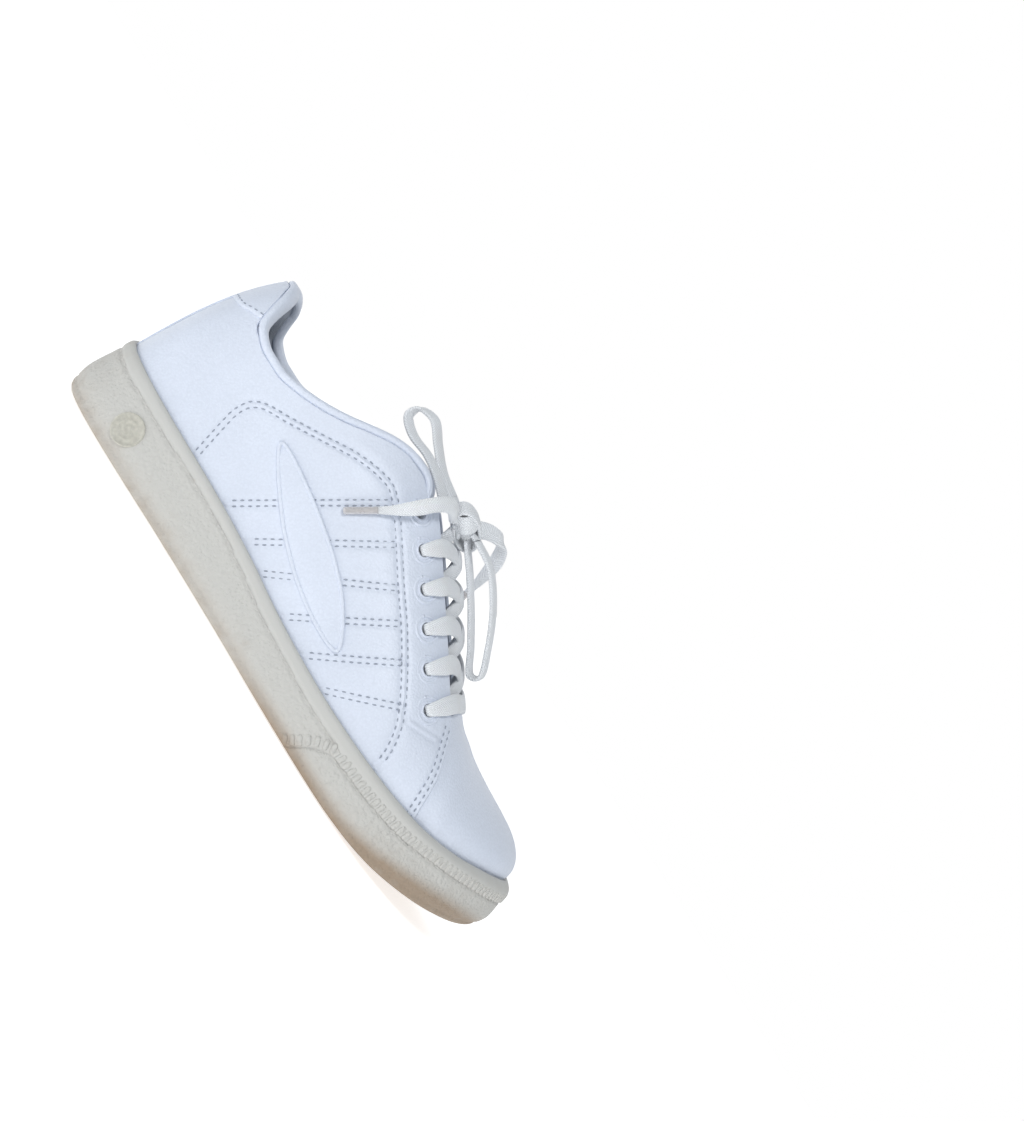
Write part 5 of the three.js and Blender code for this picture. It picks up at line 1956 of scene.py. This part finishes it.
    def free_end(self, name: str, looks: Finishes) -> list[tuple[Array, Array]]:
        """One ear or tail of the bow; returns where it leaves the knot.

        Args:
            name: the node's name.
            looks: the shoe's finishes.

        Returns:
            Where it leaves the knot, with the way its face looks, once or twice.
        """
        across, points = FREE_ENDS[name]
        path = resample(rounded_run(points, False, 20), 24 * (len(points) - 1))
        flat = np.array(across, float) / np.linalg.norm(across)
        normals = np.cross(flat, directions(path))
        normals /= np.linalg.norm(normals, axis=1, keepdims=True)
        ripple = 1 + 0.03 * np.sin(run_length(path) / 4.0)
        loft = np.full(len(path), LACE_LOFT)
        if "tail" in name:
            gone = run_length(path)
            ripple = ripple * (0.5 + 0.5 * smooth((gone[-1] - gone) / 20))
            ripple = ripple + 0.22 * np.exp(-((gone / 9) ** 2))
            loft = LACE_LOFT * (1 + 1.0 * np.exp(-((gone / 10) ** 2)))
        form = Form()
        band(form, path, normals, FREE_WIDTH * ripple, loft, 18, 0.6)
        cord = dress(form.piece(name + "_fine", self.last), looks.lace, stands_for=[name])
        ends = [(path[0], normals[0])]
        tips, far = [], "object"
        if "tail" in name:
            tips, far = [self.tip(name, path, looks)], "fitting"
        else:
            ends.append((path[-1], normals[-1]))
        route = (path - self.last.origin) / 1000
        length = float(run_length(route)[-1])
        tuple(route[0])
        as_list(tips)
        log.info("%s: free for %.1f mm", name, length * 1000)
        return ends

    def tip(self, name: str, path: Array, looks: Finishes) -> bpy.types.Object:
        """Plastic tip: a turned sleeve, pinched at both ends, that takes the gathered lace.

        Args:
            name: the node's name.
            path: the tail's middle line.
            looks: the shoe's finishes.

        Returns:
            The tip.
        """
        along = path[-1] - path[-2]
        along /= np.linalg.norm(along)
        start = path[-1] - along * 0.6
        radius = self.tip_width / 2
        form = Form()
        radii = [0.01, radius * 0.9, radius, radius * 0.94, radius * 0.94, radius, radius * 0.8, 0.01]
        heights = [0.0, 0.0, 0.7, 1.6, 11.6, 12.6, 13.6, 13.8]
        lathe(form, start, along, radii, heights, 24)
        node = name.replace("lace_tail", "aglet")
        return dress(form.piece(node + "_fine", self.last), looks.aglet, stands_for=[node])

    def build(self, looks: Finishes) -> None:
        """Makes the cords first, then the knot and the threaded part.

        Args:
            looks: the shoe's finishes.
        """
        self.holes = {h: self.last.onto(h, np.array(EYELETS), 0.0) for h in (-1, 1)}
        roots = [end for name in FREE_ENDS for end in self.free_end(name, looks)]
        self.knot(looks, roots)
        self.threaded(looks)


# ---- Hidden pieces --------------------------------------------------------------------------
def dress_hidden(looks: Finishes) -> None:
    """Gives the nodes that are kept as they are, nearly hidden inside the shoe, their own finish.

    Args:
        looks: the shoe's finishes.
    """
    choice = {"midsole": looks.foam, "lasting_board": looks.board, "heel_counter": looks.board,
              "toe_puff": looks.board, "eyelet_stay_lateral": looks.lining,
              "eyelet_stay_medial": looks.lining}
    for name, finish in choice.items():
        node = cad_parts[name]
        node.data.materials.clear()
        node.data.materials.append(finish)
        log.info("%s: kept, with its own finish", name)


# ---- Room -----------------------------------------------------------------------------------
@dataclass
class Studio:
    """Pale floor and backdrop, soft light and a camera rolled so that the shoe points down."""

    last: Last
    looks_at: tuple[float, float] = (153.5, 112.3)
    near_side: float = -40.0
    away: float = 700.0
    picture_height: float = 434.5
    roll_deg: float = 57.65
    sensor: float = 24.0
    white: Tone = Tone(1.0, 1.0, 1.0)
    sky: Tone = Tone(0.88, 0.95, 1.0)
    sky_strength: float = 0.40
    floor_height: float = -0.0006
    reach: float = 6.0
    back: float = 4.0
    floor_look: tuple[float, float] = (0.85, 0.64)
    backdrop_look: tuple[float, float] = (0.0, 1.0)

    def build(self) -> None:
        """Makes the camera, the floor, the backdrop and the lights."""
        self.camera()
        low, reach, back = self.floor_height, self.reach, self.back
        front_edge = [(-reach, -reach, low), (reach, -reach, low)]
        back_edge = [(-reach, back, low), (reach, back, low)]
        top_edge = [(reach, back, reach), (-reach, back, reach)]
        self.sheet("floor", [*front_edge, *reversed(back_edge)], *self.floor_look)
        self.sheet("backdrop", [*back_edge, *top_edge], *self.backdrop_look)
        self.lights()

    def camera(self) -> None:
        """Looks along +Y, level, with its top turned towards the heel."""
        data = bpy.data.cameras.new("camera")
        data.sensor_fit = "VERTICAL"
        data.sensor_height = self.sensor
        data.sensor_width = self.sensor
        data.lens = self.sensor * self.away / self.picture_height
        data.clip_start, data.clip_end = 0.05, 60.0
        made = bpy.data.objects.new("camera", data)
        bpy.context.collection.objects.link(made)
        c, s = math.cos(math.radians(self.roll_deg)), math.sin(math.radians(self.roll_deg))
        x = (self.looks_at[0] - self.last.origin[0]) / 1000
        y = (self.near_side - self.away) / 1000
        z = self.looks_at[1] / 1000
        made.matrix_world = Matrix(((c, -s, 0, x), (0, 0, -1, y), (s, c, 0, z), (0, 0, 0, 1)))
        bpy.context.scene.camera = made

    def sheet(self, name: str, corners: list[tuple[float, float, float]], tone: float, glow: float) -> None:
        """Makes a plain pale sheet of the room, which shows no line where it meets the next.

        Args:
            name: the sheet's name.
            corners: its four corners, in metres.
            tone: how light it is, from 0 to 1.
            glow: the light it gives of its own.
        """
        mesh = bpy.data.meshes.new(name)
        mesh.from_pydata(corners, [], [(0, 1, 2, 3)])
        made = bpy.data.objects.new(name, mesh)
        bpy.context.collection.objects.link(made)
        f = Finish(name + "_paint")
        f.shader.inputs["Emission Color"].default_value = self.white.rgba()
        f.wear(self.white.times(tone).rgba(), 1.0, Emission_Strength=glow, Specular_IOR_Level=0.0)
        made.data.materials.append(f.material)

    def lights(self) -> None:
        """A soft key from above on the camera's side, a cool even surround and a low fill."""
        scene = bpy.context.scene
        world = bpy.data.worlds.new("studio")
        scene.world = world
        world.use_nodes = True
        background = world.node_tree.nodes["Background"]
        background.inputs[0].default_value = self.sky.rgba()
        background.inputs[1].default_value = self.sky_strength
        aim = Vector((0.0, 0.0, 0.05))
        for name, place, power, size in (
            ("key", (-0.25, -1.6, 1.15), 12.0, 0.5),
            ("fill", (1.1, -1.4, 0.2), 2.4, 1.2),
        ):
            data = bpy.data.lights.new(name, "AREA")
            data.energy, data.size = power, size
            made = bpy.data.objects.new(name, data)
            bpy.context.collection.objects.link(made)
            made.location = place
            made.rotation_euler = (aim - Vector(place)).to_track_quat("-Z", "Y").to_euler()
        scene.view_settings.view_transform = "Standard"


def main() -> None:
    """Builds the room and the shoe's sub-assemblies in order."""
    logging.basicConfig(level=logging.INFO, format="%(message)s")
    last = Last()
    Studio(last).build()
    looks = Finishes()
    Lace(last).build(looks)
    CupSole(last).build(looks)
    Upper(last).build(looks)
    Tongue(last).build(looks)
    dress_hidden(looks)


if __name__ == "__main__":
    main()
